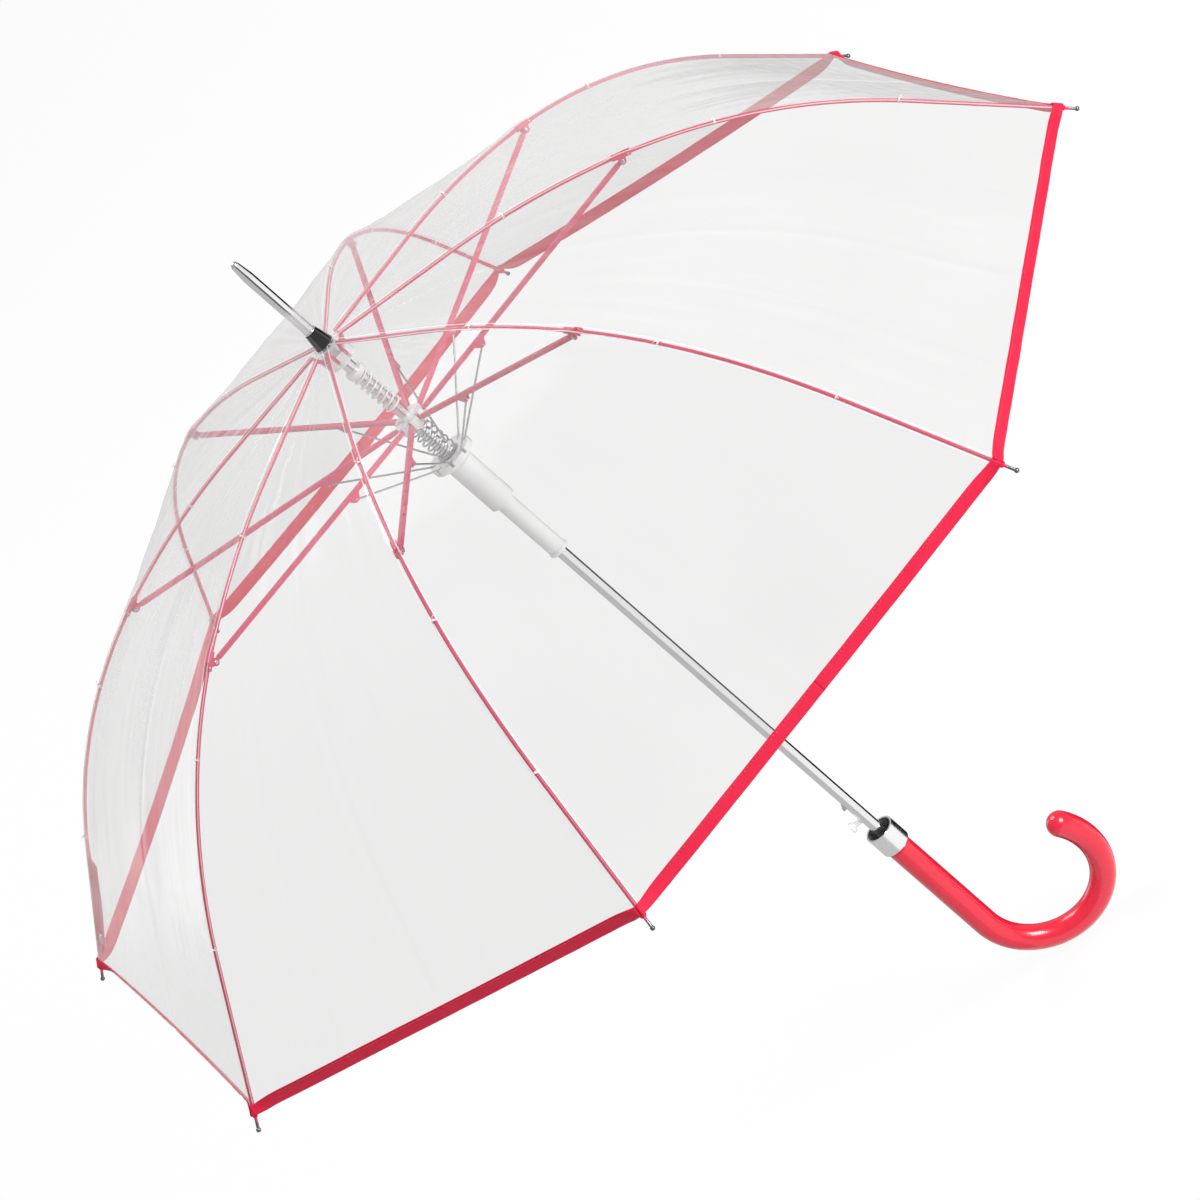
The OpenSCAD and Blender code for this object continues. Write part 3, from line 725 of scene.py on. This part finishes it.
def fold_axis(k, side, s0, s1, lift=0.0):
    """Direction across a half panel, square to the rib's chord from s0 to s1, and a point on the rib."""
    out, across, up = rib_frame(k)
    (a, b), _ = rod(np.array([s0, s1]))
    chord = (b - a) / np.linalg.norm(b - a)
    chord = chord[0] * out + chord[1] * up
    middle, slope = rod((s0 + s1) / 2)
    normal = slope_normal(slope)
    wide = -SIN_H * out + side * COS_H * across - lift * (normal[0] * out + normal[1] * up)
    axis = wide - np.dot(wide, chord) * chord
    line = (2 * middle + (a + b) / 2) / 3 + FILM_LIFT * normal
    return axis / np.linalg.norm(axis), line[0] * out + line[1] * up


def fold_in(obj, k, side, s0, s1, part):
    """Works out the piece's fold axis and anchor, which nothing uses, and gives the piece its own mesh."""
    axis, anchor = fold_axis(k, side, s0, s1, FOLD_LIFT[part])
    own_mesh(obj)


HANDS = ((1, "left"), (-1, "right"))
# Each strip of a half panel: name, start and end down the rib, rows of points, body that it rides
STRIPS = (
    ("upper", 0.0, S_FLEX, 46, "inner"),
    ("middle", S_FLEX, S_SPLIT, 26, "outer"),
    ("rim", S_SPLIT, S_TIP, 42, "outer"),
)
FILM_COLS = 54


def film_strip(k, side, name, s, surface):
    """One strip of a half panel, and its width and area when laid flat."""
    azimuth = (k - 1) * PITCH
    t = np.linspace(0, 1, FILM_COLS)
    # columns stand closer near the rib
    u = 0.5 * t + 0.25 * (1 - np.cos(math.pi * t))
    ss, uu = np.meshgrid(s, u, indexing="ij")
    points = turned(surface(ss, uu, side), azimuth)
    normals = turned(surface_normal(surface, ss, uu, side), azimuth)
    uv = np.stack([uu * film_base(ss, uu, side)[..., 0] * SIN_H, ss], -1)
    faces = grid_faces(len(s), FILM_COLS, flip=side > 0)
    obj = mesh_object(name, points, faces, [FILM], uv, normals)
    flat_width = rod(s)[0][:, 0] * SIN_H
    return obj, float(flat_width[-1]), float(np.trapz(flat_width, s))


for k in RIBS:
    surface = film_surface((k - 1) * PITCH)
    for side, hand in HANDS:
        for part, s0, s1, rows, body in STRIPS:
            s = np.linspace(s0, s1, rows)
            strip, width, area = film_strip(k, side, f"film_{k}_{hand}_{part}", s, surface)
            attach(strip, f"{body}_{k}")
            fold_in(strip, k, side, s0, s1, part)
            if (part, hand) == ("upper", "left"):
                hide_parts(f"film_{k}")

# ---------------------------------------------------------------- hem: a folded tape along the rim
# The folded tape's section: distance down past the rim and height over the film, in millimetres
FACE = [(-10.5, 0.28), (-10.4, 0.52), (-8.0, 0.60), (-4.8, 0.66), (-1.5, 0.74), (0.0, 0.70), (0.6, 0.38)]
INNER_FACE = [(down, -height) for down, height in FACE[::-1]]
PROFILE = np.array(FACE + [(0.75, 0.0)] + INNER_FACE + [(-10.4, 0.0)]) * MM
# The tape draws together round its middle at each tip, over this reach and by this share
HEM_MID = -4.9 * MM
GATHER_REACH = 14 * MM
GATHER_SHARE = 0.26
ROD_LIFT = 1.0 * MM
ROD_LIFT_REACH = 4 * MM
# The tape's ruffles and the sway of its line: cells in one turn, seed and first row of the noise
RUFFLE_LONG = 6 * MM
RUFFLE_CELLS, RUFFLE_SEED, RUFFLE_ROW = 640, 21, 9
SWAY = 0.25 * MM
SWAY_CELLS, SWAY_SEED, SWAY_ROW = 150, 23, 0.5
# The sway dies away over this last share of each half panel
SWAY_FADE = 0.02
TAPE_HALF = 0.7 * MM
# The hem's points stand closer together this near the rib
NEAR_RIB = 20 * MM
NEAR_POINTS, FAR_POINTS = 14, 92
# Stitches: spacing, distance in from the rim, start beside the rib and room kept free, thread radius
STITCH_STEP = 3.2 * MM
STITCH_IN = 9.0 * MM
STITCH_START = 26 * MM
STITCH_ROOM = 28 * MM
STITCH_R = 0.19 * MM
# One stitch, as shares of the spacing and of its rise
STITCH_PATH = np.array([0.14, 0.3, 0.5, 0.7, 0.86])
STITCH_RISE = np.array([-0.6, 0.8, 1.0, 0.8, -0.6])
# Half the rim's length between two ribs
HALF_RIM = float(TIP_PT[0]) * SIN_H


def hem_rise(across):
    """The tape lifts where it crosses the rod."""
    return ROD_LIFT * np.exp(-((across / ROD_LIFT_REACH) ** 2))


def on_hem(down, across, side, height):
    """A point at a height over the film, beside the rim."""
    s, u = S_TIP + down, across / HALF_RIM
    n = surface_normal(film_base, s, u, side)
    return film_base(s, u, side) + (height + hem_rise(across))[..., None] * n


def add_tape(build, k, side):
    """The folded tape along half a panel's rim."""
    near = np.linspace(0, NEAR_RIB, NEAR_POINTS)[:-1]
    along = np.concatenate([near, np.linspace(NEAR_RIB, HALF_RIM, FAR_POINTS)])
    across, down = np.meshgrid(along, PROFILE[:, 0], indexing="ij")
    _, height = np.meshgrid(along, PROFILE[:, 1], indexing="ij")
    u = across / HALF_RIM
    gather = np.exp(-((across / GATHER_REACH) ** 2))
    turn = ((k - 1) / RIB_COUNT + side * u / (2 * RIB_COUNT)) % 1.0
    ruffle = ring_noise(turn, down / RUFFLE_LONG + RUFFLE_ROW, RUFFLE_CELLS, RUFFLE_SEED)
    ruffle = ruffle * (0.10 + 0.35 * gather)
    sway = ring_noise(turn, np.full_like(down, SWAY_ROW), SWAY_CELLS, SWAY_SEED)
    ease = 1 - smooth(1 - (1 - u) / SWAY_FADE)
    down = HEM_MID + (down - HEM_MID) * (1 - GATHER_SHARE * gather) + SWAY * sway * ease
    height = height * (1 + 0.5 * gather) + MM * ruffle * (0.4 + np.abs(height) / TAPE_HALF * 0.6)
    uv = np.stack([across, np.cumsum(np.abs(np.gradient(PROFILE[:, 0])))[None, :] + 0 * across], -1)
    points = turned(on_hem(down, across, side, height), (k - 1) * PITCH)
    build.grid(points, caps=True, flip=side > 0, uv=uv)


def add_stitches(build, k, side, layer):
    """A row of stitches on one face of the tape."""
    for i in range(int((HALF_RIM - STITCH_ROOM) / STITCH_STEP)):
        across = STITCH_START + (i + STITCH_PATH) * STITCH_STEP
        height = layer * (0.62 + 0.16 * STITCH_RISE) * MM
        line = on_hem(0 * across - STITCH_IN, across, side, height)
        build.grid(tube_points(turned(line, (k - 1) * PITCH), STITCH_R, 5), caps=True, pick=1)


for k in RIBS:
    for side, hand in HANDS:
        build = Build()
        add_tape(build, k, side)
        for layer in (1, -1):
            add_stitches(build, k, side, layer)
        hem = build.make(f"hem_{k}_{hand}", [TAPE, STITCH])
        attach(hem, f"outer_{k}")
        fold_in(hem, k, side, S_SPLIT, S_TIP, "rim")

# ---------------------------------------------------------------- tip pockets, thread ties and rivets
# The pocket reaches this far up and down from the tip, and is this much wider than high
POCKET_UP, POCKET_DOWN = 8 * MM, 0.4 * MM
POCKET_RINGS, POCKET_SIDES = 26, 36
POCKET_FLAT = 1.25
POCKET_LIFT = 0.45 * MM
# Ties: how far down the rib, from the crown or from the clip
TIE_SPOTS = {"inner": [160 * MM], "outer": [S_CLIP + 75 * MM, S_CLIP + 215 * MM]}
TIE_LOOPS = 3
TIE_STEP = 0.75 * MM
TIE_LEAN = 0.35 * MM
# A loop's middle over the rod, its half height and its half width
TIE_RISE, TIE_HIGH, TIE_WIDE = 0.25 * MM, 2.0 * MM, 1.95 * MM
THREAD_R = 0.24 * MM
KNOT_AT, KNOT_R, KNOT_HIGH = 2.5 * MM, 0.7 * MM, 0.6 * MM
THREAD_END_R = 0.2 * MM
# Rivet heads: point, distance from the rib's plane, radius and height
RIB_RIVETS = ((CLIP_PT, 3.1 * MM, 1.75 * MM, 0.55 * MM), (FLEX_PT, 3.05 * MM, 0.95 * MM, 0.55 * MM))
LUG_RIVETS = ((LUG_PT, 2.05 * MM, 0.95 * MM, 0.4 * MM),)


def dome(centre, axis, radius, height, rings=6, sides=20):
    """A rivet head: a low dome on a short rim."""
    axis = np.asarray(axis, float)
    side = np.cross(axis, Z_DIR)
    side /= np.linalg.norm(side)
    up = np.cross(axis, side)
    rows = [(radius * 0.96, -0.15 * MM), (radius, 0.0), (radius, 0.25 * height)]
    for i in range(1, rings):
        a = i / rings * math.pi / 2
        rows.append((radius * math.cos(a), height * (0.25 + 0.75 * math.sin(a))))
    rows.append((radius * 0.05, height))
    return np.array([ring_points(centre + h * axis, r, circle(sides), side, up) for r, h in rows])


def add_pocket(build, k):
    """Gathered pocket of tape over the rib's end."""
    s = np.linspace(S_TIP - POCKET_UP, S_TIP + POCKET_DOWN, POCKET_RINGS)
    centres, slopes = rod(s)
    share = (s - s[0]) / (s[-1] - s[0])
    belly = np.sin(math.pi * np.clip(share, 0.02, 0.98)) ** 0.45
    turn = circle(POCKET_SIDES)
    rings = []
    for i in range(len(s)):
        pleat = 0.16 * np.sin(turn * 7 + 3.0 * share[i] + k) + 0.10 * np.sin(turn * 11 - 5.0 * share[i])
        r = MM * (1.4 + belly[i] * (0.85 + pleat))
        normal = slope_normal(slopes[i])
        centre = centres[i] + POCKET_LIFT * belly[i] * normal
        high = r * np.sin(turn)
        wide = r * POCKET_FLAT * np.cos(turn)
        rings.append(in_rib(k, centre[0] + high * normal[0], wide, centre[1] + high * normal[1]))
    uv = np.stack(np.meshgrid(s, turn * 2 * MM, indexing="ij"), -1)
    build.grid(np.array(rings), caps=True, uv=uv)


def add_tie(build, k, spot, reach):
    """Three turns of thread round rod and film, a knot on top and two loose ends."""
    out, across, up = rib_frame(k)
    turn = np.linspace(0, 2 * math.pi, 30)
    for loop in range(TIE_LOOPS):
        at = spot + (loop - 1) * TIE_STEP
        p, a = rod(at + TIE_LEAN * np.sin(turn + loop * 1.3))
        n = slope_normal(a)
        high = TIE_RISE + TIE_HIGH * np.sin(turn)
        line = in_rib(k, p[:, 0] + high * n[:, 0], TIE_WIDE * np.cos(turn), p[:, 1] + high * n[:, 1])
        build.grid(tube_points(line, THREAD_R, 7))
    p, a = rod(spot)
    n, along = slope_normal(a), slope_along(a)
    knot = p + KNOT_AT * n
    axis = n[0] * out + n[1] * up + 0.01 * across
    build.grid(dome(in_rib(k, knot[0], 0.0, knot[1]), axis, KNOT_R, KNOT_HIGH))
    for end in (-1, 1):
        t = np.linspace(0, 1, 8)
        down = (0.4 + 3.2 * t) * MM * reach
        rise = (2.7 + 1.3 * np.sin(t * 2.2)) * MM
        wide = end * (0.3 + 2.4 * t * t) * MM
        line = in_rib(k, p[0] + down * along[0] + rise * n[0], wide, p[1] + down * along[1] + rise * n[1])
        build.grid(tube_points(line, THREAD_END_R, 6), caps=True)


def rivet_heads(name, k, heads):
    """Heads on both sides of one rib's plane."""
    across = rib_frame(k)[1]
    build = Build()
    for side in (1, -1):
        for point, reach, radius, height in heads:
            centre = in_rib(k, point[0], side * reach, point[1])
            build.grid(dome(centre, side * across, radius, height), caps=True)
    return build.make(f"{name}_{k}", [WIRE])


for k in RIBS:
    build = Build()
    add_pocket(build, k)
    pocket = build.make(f"tip_pocket_{k}", [TAPE])
    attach(pocket, f"outer_{k}")
    for body, spots in TIE_SPOTS.items():
        build = Build()
        for number, spot in enumerate(spots):
            add_tie(build, k, spot, 0.6 if number else -0.7)
        ties = build.make(f"thread_ties_{body}_{k}", [TIE])
        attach(ties, f"{body}_{k}")
    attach(rivet_heads("clip_rivets", k, RIB_RIVETS), f"inner_{k}")
    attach(rivet_heads("lug_pins", k, LUG_RIVETS), f"stretch_{k}")

# ---------------------------------------------------------------- closing strap on one rib
STRAP_RIB = 5
STRAP_L = 84 * MM
STRAP_W = 16 * MM
STRAP_T = 0.7 * MM
STRAP_TURN = math.radians(-18)
# Where the strap starts beside the rod, and how its end narrows
STRAP_DOWN, STRAP_SIDE = 10 * MM, 3.4 * MM
STRAP_POINT_L = 7 * MM
STRAP_POINT_SHARE, STRAP_POINT_POWER = 0.55, 1.6
STRAP_MID = STRAP_SIDE + STRAP_W / 2
STRAP_POINTS = 70
STRAP_DROP = -0.2 * MM
STRAP_HEM, STRAP_HEM_FROM = 0.18 * MM, 0.78
# The stud's section, as radius and height in millimetres, and its distance from the strap's end
STUD = ((4.6, 0.2), (4.6, 0.75), (4.2, 0.95), (3.2, 0.8), (2.9, 0.95), (1.6, 1.3), (0.1, 1.4))
STUD_IN = 11 * MM
# The loop that holds the strap: its run down the rod, and its radius
LOOP_RUN = (8 * MM, 18 * MM)
LOOP_R = 2.05 * MM


def beside_tail(points):
    """From distance down the rod's tail, sideways and up from it, to the row frame."""
    down, wide, high = points[..., 0], points[..., 1], points[..., 2]
    along, normal = slope_along(SLOPE_TIP), slope_normal(SLOPE_TIP)
    r = OUTER_END[0] + down * along[0] + high * normal[0]
    h = OUTER_END[1] + down * along[1] + high * normal[1]
    return in_rib(STRAP_RIB, r, wide, h)


def strap_place(points):
    """The strap leans down from the rod about its edge."""
    c, s = math.cos(STRAP_TURN), math.sin(STRAP_TURN)
    down, wide, high = points[..., 0], points[..., 1], points[..., 2]
    return beside_tail(np.stack([down, wide * c - high * s, wide * s + high * c], -1))


def strap_band():
    """Rings of the strap: slightly wavy, hemmed at its edges and narrowed at its end."""
    edge = np.linspace(-1, 1, 13)
    section = [(e, 1) for e in edge] + [(e, -1) for e in edge[::-1]]
    rows = []
    for x in np.linspace(0, STRAP_L, STRAP_POINTS):
        near_end = max(0.0, (x - (STRAP_L - STRAP_POINT_L)) / STRAP_POINT_L)
        half = STRAP_W / 2 * (1 - STRAP_POINT_SHARE * near_end**STRAP_POINT_POWER)
        ring = []
        for e, face in section:
            wave = 0.35 * MM * math.sin(x / 0.011 + e) + 0.25 * MM * math.sin(x / 0.023 - 2 * e)
            edge_fold = STRAP_HEM if abs(e) > STRAP_HEM_FROM else 0.0
            high = STRAP_DROP + wave + face * (STRAP_T / 2 * (1 - 0.6 * abs(e) ** 8) + edge_fold)
            ring.append([STRAP_DOWN + x, STRAP_MID + e * half, high])
        rows.append(ring)
    return np.array(rows)


build = Build()
band = strap_band()
build.grid(strap_place(band), caps=True, uv=np.stack([band[..., 1], band[..., 0]], -1))
stud_x = STRAP_DOWN + STRAP_L - STUD_IN
for face in (1, -1):
    centres = [np.array([stud_x, STRAP_MID, face * h * MM]) for _, h in STUD]
    stud = [ring_points(c, r * MM, circle(28), X_DIR, Y_DIR) for c, (r, _) in zip(centres, STUD)]
    build.grid(strap_place(np.array(stud)), caps=True, pick=1)
strap = build.make("closing_strap", [TAPE, CHROME])
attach(strap, f"outer_{STRAP_RIB}")
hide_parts("tie_strap")
strap_axis, strap_anchor = fold_axis(STRAP_RIB, 1, S_SPLIT, S_TIP)
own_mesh(strap)


def loop_ring(x):
    """One ring of the loop, pulled out on the strap's side."""
    ring = []
    for a in circle(28):
        r = LOOP_R + 0.08 * MM * math.sin(5 * a + x * 900)
        wide = r * math.cos(a) * 1.15 + 1.2 * MM * max(0.0, math.cos(a)) ** 2
        ring.append([x, wide, r * math.sin(a) * 0.86 - 0.25 * MM])
    return ring


build = Build()
sleeve = np.array([loop_ring(x) for x in np.linspace(*LOOP_RUN, 12)])
build.grid(beside_tail(sleeve), caps=True, uv=sleeve[..., :2])
loop = build.make("strap_loop", [TAPE])
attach(loop, f"outer_{STRAP_RIB}")

# ---------------------------------------------------------------- springs
# Points in one turn of a coil
COIL_STEPS = 40
# Closed end coils climb at this share of the others' rate
END_RATE = 0.32


def spring(name, node, coils, wire_r, end_coils, material, sides=12, lying=False):
    """A wound spring with closed end coils, in the space of its CAD node; lying puts it along X."""
    box_low, box_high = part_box(node)
    radius = (box_high.y - box_low.y) / 2 - wire_r
    start, end = (box_low.x, box_high.x) if lying else (box_low.z, box_high.z)
    turns = np.linspace(0, coils, coils * COIL_STEPS + 1)
    rate = np.where((turns < end_coils) | (turns > coils - end_coils), END_RATE, 1.0)
    climb = np.concatenate([[0], np.cumsum((rate[1:] + rate[:-1]) / 2)])
    along = start + wire_r + (end - start - 2 * wire_r) * climb / climb[-1]
    a = turns * 2 * math.pi
    path = np.stack([radius * np.cos(a), radius * np.sin(a), along], -1)
    if lying:
        path = np.stack([along, path[:, 1], (box_low.z + box_high.z) / 2 + path[:, 0]], -1)
    build = Build()
    build.grid(tube_points(path, wire_r, sides), caps=True)
    obj = build.make(name, [material])
    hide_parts(node)
    return obj, end


main, main_top = spring("opening_spring", "main_spring", 17, 0.8 * MM, 1.0, WIRE)
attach(main, "hub")
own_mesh(main)
buffer, _ = spring("buffer_coil", "buffer_spring", 8, 0.7 * MM, 1.0, CLEAR)
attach(buffer, "shaft")
button_coil, coil_end = spring("button_coil", "button_spring", 4, 0.25 * MM, 0.8, WIRE, 8, lying=True)
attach(button_coil, "shaft")
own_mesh(button_coil)

# ---------------------------------------------------------------- handle: one smooth swept form
GRIP_R = 11 * MM
GRIP_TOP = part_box("handle")[1].z
# The grip's top edge is eased by this much and set this far down
GRIP_EASE = 0.5 * MM
GRIP_SINK = 0.05 * MM
CROOK_START = 51 * MM
CROOK_R = 56 * MM
CROOK_TURN = math.radians(209)
CROOK_STEPS = 132
GRIP_STEPS = 28
END_STEPS = 16
END_LEAST_R = 0.12 * MM


def handle_path():
    """Middle line and radius: the straight grip, the crook and its domed end."""
    path, radius = [], []
    for z in np.linspace(GRIP_TOP - GRIP_SINK, -CROOK_START, GRIP_STEPS)[:-1]:
        path.append([0, 0, z])
        radius.append(GRIP_R)
    radius[0] -= GRIP_EASE
    for a in np.linspace(0, CROOK_TURN, CROOK_STEPS):
        path.append([CROOK_R - CROOK_R * math.cos(a), 0, -CROOK_START - CROOK_R * math.sin(a)])
        radius.append(GRIP_R)
    end = np.array(path[-1])
    ahead = np.array([math.sin(CROOK_TURN), 0, -math.cos(CROOK_TURN)])
    for i in range(1, END_STEPS + 1):
        a = i / END_STEPS * math.pi / 2
        path.append(end + ahead * GRIP_R * math.sin(a))
        radius.append(max(GRIP_R * math.cos(a), END_LEAST_R))
    return np.array(path, float), radius


def swept_in_plane(path, radius, sides):
    """Rings of a bar whose middle line stays in the crook's plane."""
    stops = zip(path, directions(path), radius)
    return np.array([ring_points(p, r, circle(sides), Y_DIR, np.cross(t, Y_DIR)) for p, t, r in stops])


build = Build()
build.grid(swept_in_plane(*handle_path(), 56), caps=True)
crook = build.make("crook_handle", [HANDLE])
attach(crook, "shaft")
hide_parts("handle")

# ---------------------------------------------------------------- camera, floor and light
scene = bpy.context.scene
CAMERA_RIGHT = Vector((0.72107, -0.11053, -0.68399))
CAMERA_UP = Vector((0.64017, 0.48392, 0.59666))
CAMERA_BACK = Vector((0.26504, -0.86811, 0.4197))
CAMERA_PLACE = (0.9754, -3.2249, 1.9648)
CAMERA_LENS = 141.58
CAMERA_SENSOR = 36

camera_data = bpy.data.cameras.new("camera")
camera = bpy.data.objects.new("camera", camera_data)
scene.collection.objects.link(camera)
camera_data.sensor_width = CAMERA_SENSOR
camera_data.lens = CAMERA_LENS
facing = Matrix((CAMERA_RIGHT, CAMERA_UP, CAMERA_BACK)).transposed().to_4x4()
camera.matrix_world = Matrix.Translation(CAMERA_PLACE) @ facing
camera_data.clip_start, camera_data.clip_end = 0.05, 100
scene.camera = camera

# The floor lies just under the crook, which is the part's lowest point
FLOOR_Z = cad_low.z - 2 * MM
FLOOR_HALF = 14.0
FLOOR_POINTS = 9
FLOOR_GLOW = 0.93


def floor_material():
    """Pale matt floor, lit mostly from within so that it stays plain."""
    g = Graph("floor_look")
    tone = g.noise(g.object_coord((1, 1, 1)), 1.2)
    paint = g.mix(tone, rgb(0.86, 0.86, 0.86), rgb(0.88, 0.88, 0.88))
    diffuse = g.add("BsdfDiffuse", {"Color": paint}).outputs[0]
    glow = g.add("Emission", {"Color": rgb(1, 1, 1), "Strength": 1.0}).outputs[0]
    return g.out(g.add("MixShader", {0: FLOOR_GLOW, 1: diffuse, 2: glow}).outputs[0])


cells = np.linspace(-FLOOR_HALF, FLOOR_HALF, FLOOR_POINTS)
floor_x, floor_y = np.meshgrid(cells, cells, indexing="ij")
floor_points = np.stack([floor_x, floor_y, np.full_like(floor_x, FLOOR_Z)], -1)
floor_faces = grid_faces(FLOOR_POINTS, FLOOR_POINTS)
floor = mesh_object("studio_floor", floor_points, floor_faces, [floor_material()])

FLAG_POINTS = 25
# Cards on the floor: name, first and last azimuth in degrees, near and far radius in metres, grey
FLAGS = (
    ("flag_dark", 18, 90, 0.02, 9.0, 0.006),
    ("flag_grey", 90, 262, 0.02, 9.0, 0.56),
    ("flag_front", 262, 296, 1.62, 9.0, 0.14),
    ("flag_side", 262, 272, 0.02, 1.62, 0.56),
)


def flag(name, start, end, near, far, grey):
    """A card lying on the floor, seen only in reflections, which draws a band down polished tubes."""
    g = Graph(name + "_look")
    material = g.out(g.add("Emission", {"Color": rgb(grey, grey, grey), "Strength": 1.0}).outputs[0])
    turn = np.radians(np.linspace(start, end, FLAG_POINTS))
    height = np.full_like(turn, FLOOR_Z + 1 * MM)
    rows = [np.stack([r * np.cos(turn), r * np.sin(turn), height], -1) for r in (near, far)]
    card = mesh_object(name, np.array(rows), grid_faces(2, FLAG_POINTS), [material])
    card.visible_camera = False
    card.visible_diffuse = False
    card.visible_shadow = False
    card.visible_transmission = False


for card_settings in FLAGS:
    flag(*card_settings)

SKY_STRENGTH = 0.42
world = bpy.data.worlds.new("studio")
scene.world = world
world.use_nodes = True
tree = world.node_tree
tree.nodes.clear()
sky_coord = tree.nodes.new("ShaderNodeTexCoord")
split = tree.nodes.new("ShaderNodeSeparateXYZ")
ramp = tree.nodes.new("ShaderNodeValToRGB")
sky = tree.nodes.new("ShaderNodeBackground")
world_out = tree.nodes.new("ShaderNodeOutputWorld")
tree.links.new(sky_coord.outputs["Generated"], split.inputs[0])
tree.links.new(split.outputs[2], ramp.inputs[0])
tree.links.new(ramp.outputs[0], sky.inputs[0])
tree.links.new(sky.outputs[0], world_out.inputs[0])
horizon, zenith = ramp.color_ramp.elements
horizon.position, horizon.color = 0.0, rgb(0.9, 0.9, 0.9)
zenith.position, zenith.color = 0.75, rgb(1.0, 1.0, 1.0)
sky.inputs[1].default_value = SKY_STRENGTH

AIM = Vector((0.0, 0.0, 0.45))
# Soft lights: name, azimuth and height in degrees, distance in metres, size in metres, watts
LIGHTS = (
    ("key", -32, 27, 3.5, (1.6, 1.6), 122),
    ("top", 110, 64, 3.2, (1.6, 1.6), 58),
    ("rim", 135, 12, 3.2, (1.0, 1.9), 8),
)


def softbox(name, azimuth, height, distance, size, power):
    a, h = math.radians(azimuth), math.radians(height)
    away = Vector((math.cos(a) * math.cos(h), math.sin(a) * math.cos(h), math.sin(h)))
    data = bpy.data.lights.new(name, "AREA")
    data.shape = "RECTANGLE"
    data.size, data.size_y = size
    data.energy = power
    lamp = bpy.data.objects.new(name, data)
    scene.collection.objects.link(lamp)
    lamp.location = AIM + distance * away
    lamp.rotation_mode = "QUATERNION"
    lamp.rotation_quaternion = away.to_track_quat("Z", "Y")
    lamp.visible_camera = False


for light_settings in LIGHTS:
    softbox(*light_settings)

scene.view_settings.view_transform = "Standard"
scene.view_settings.look = "None"
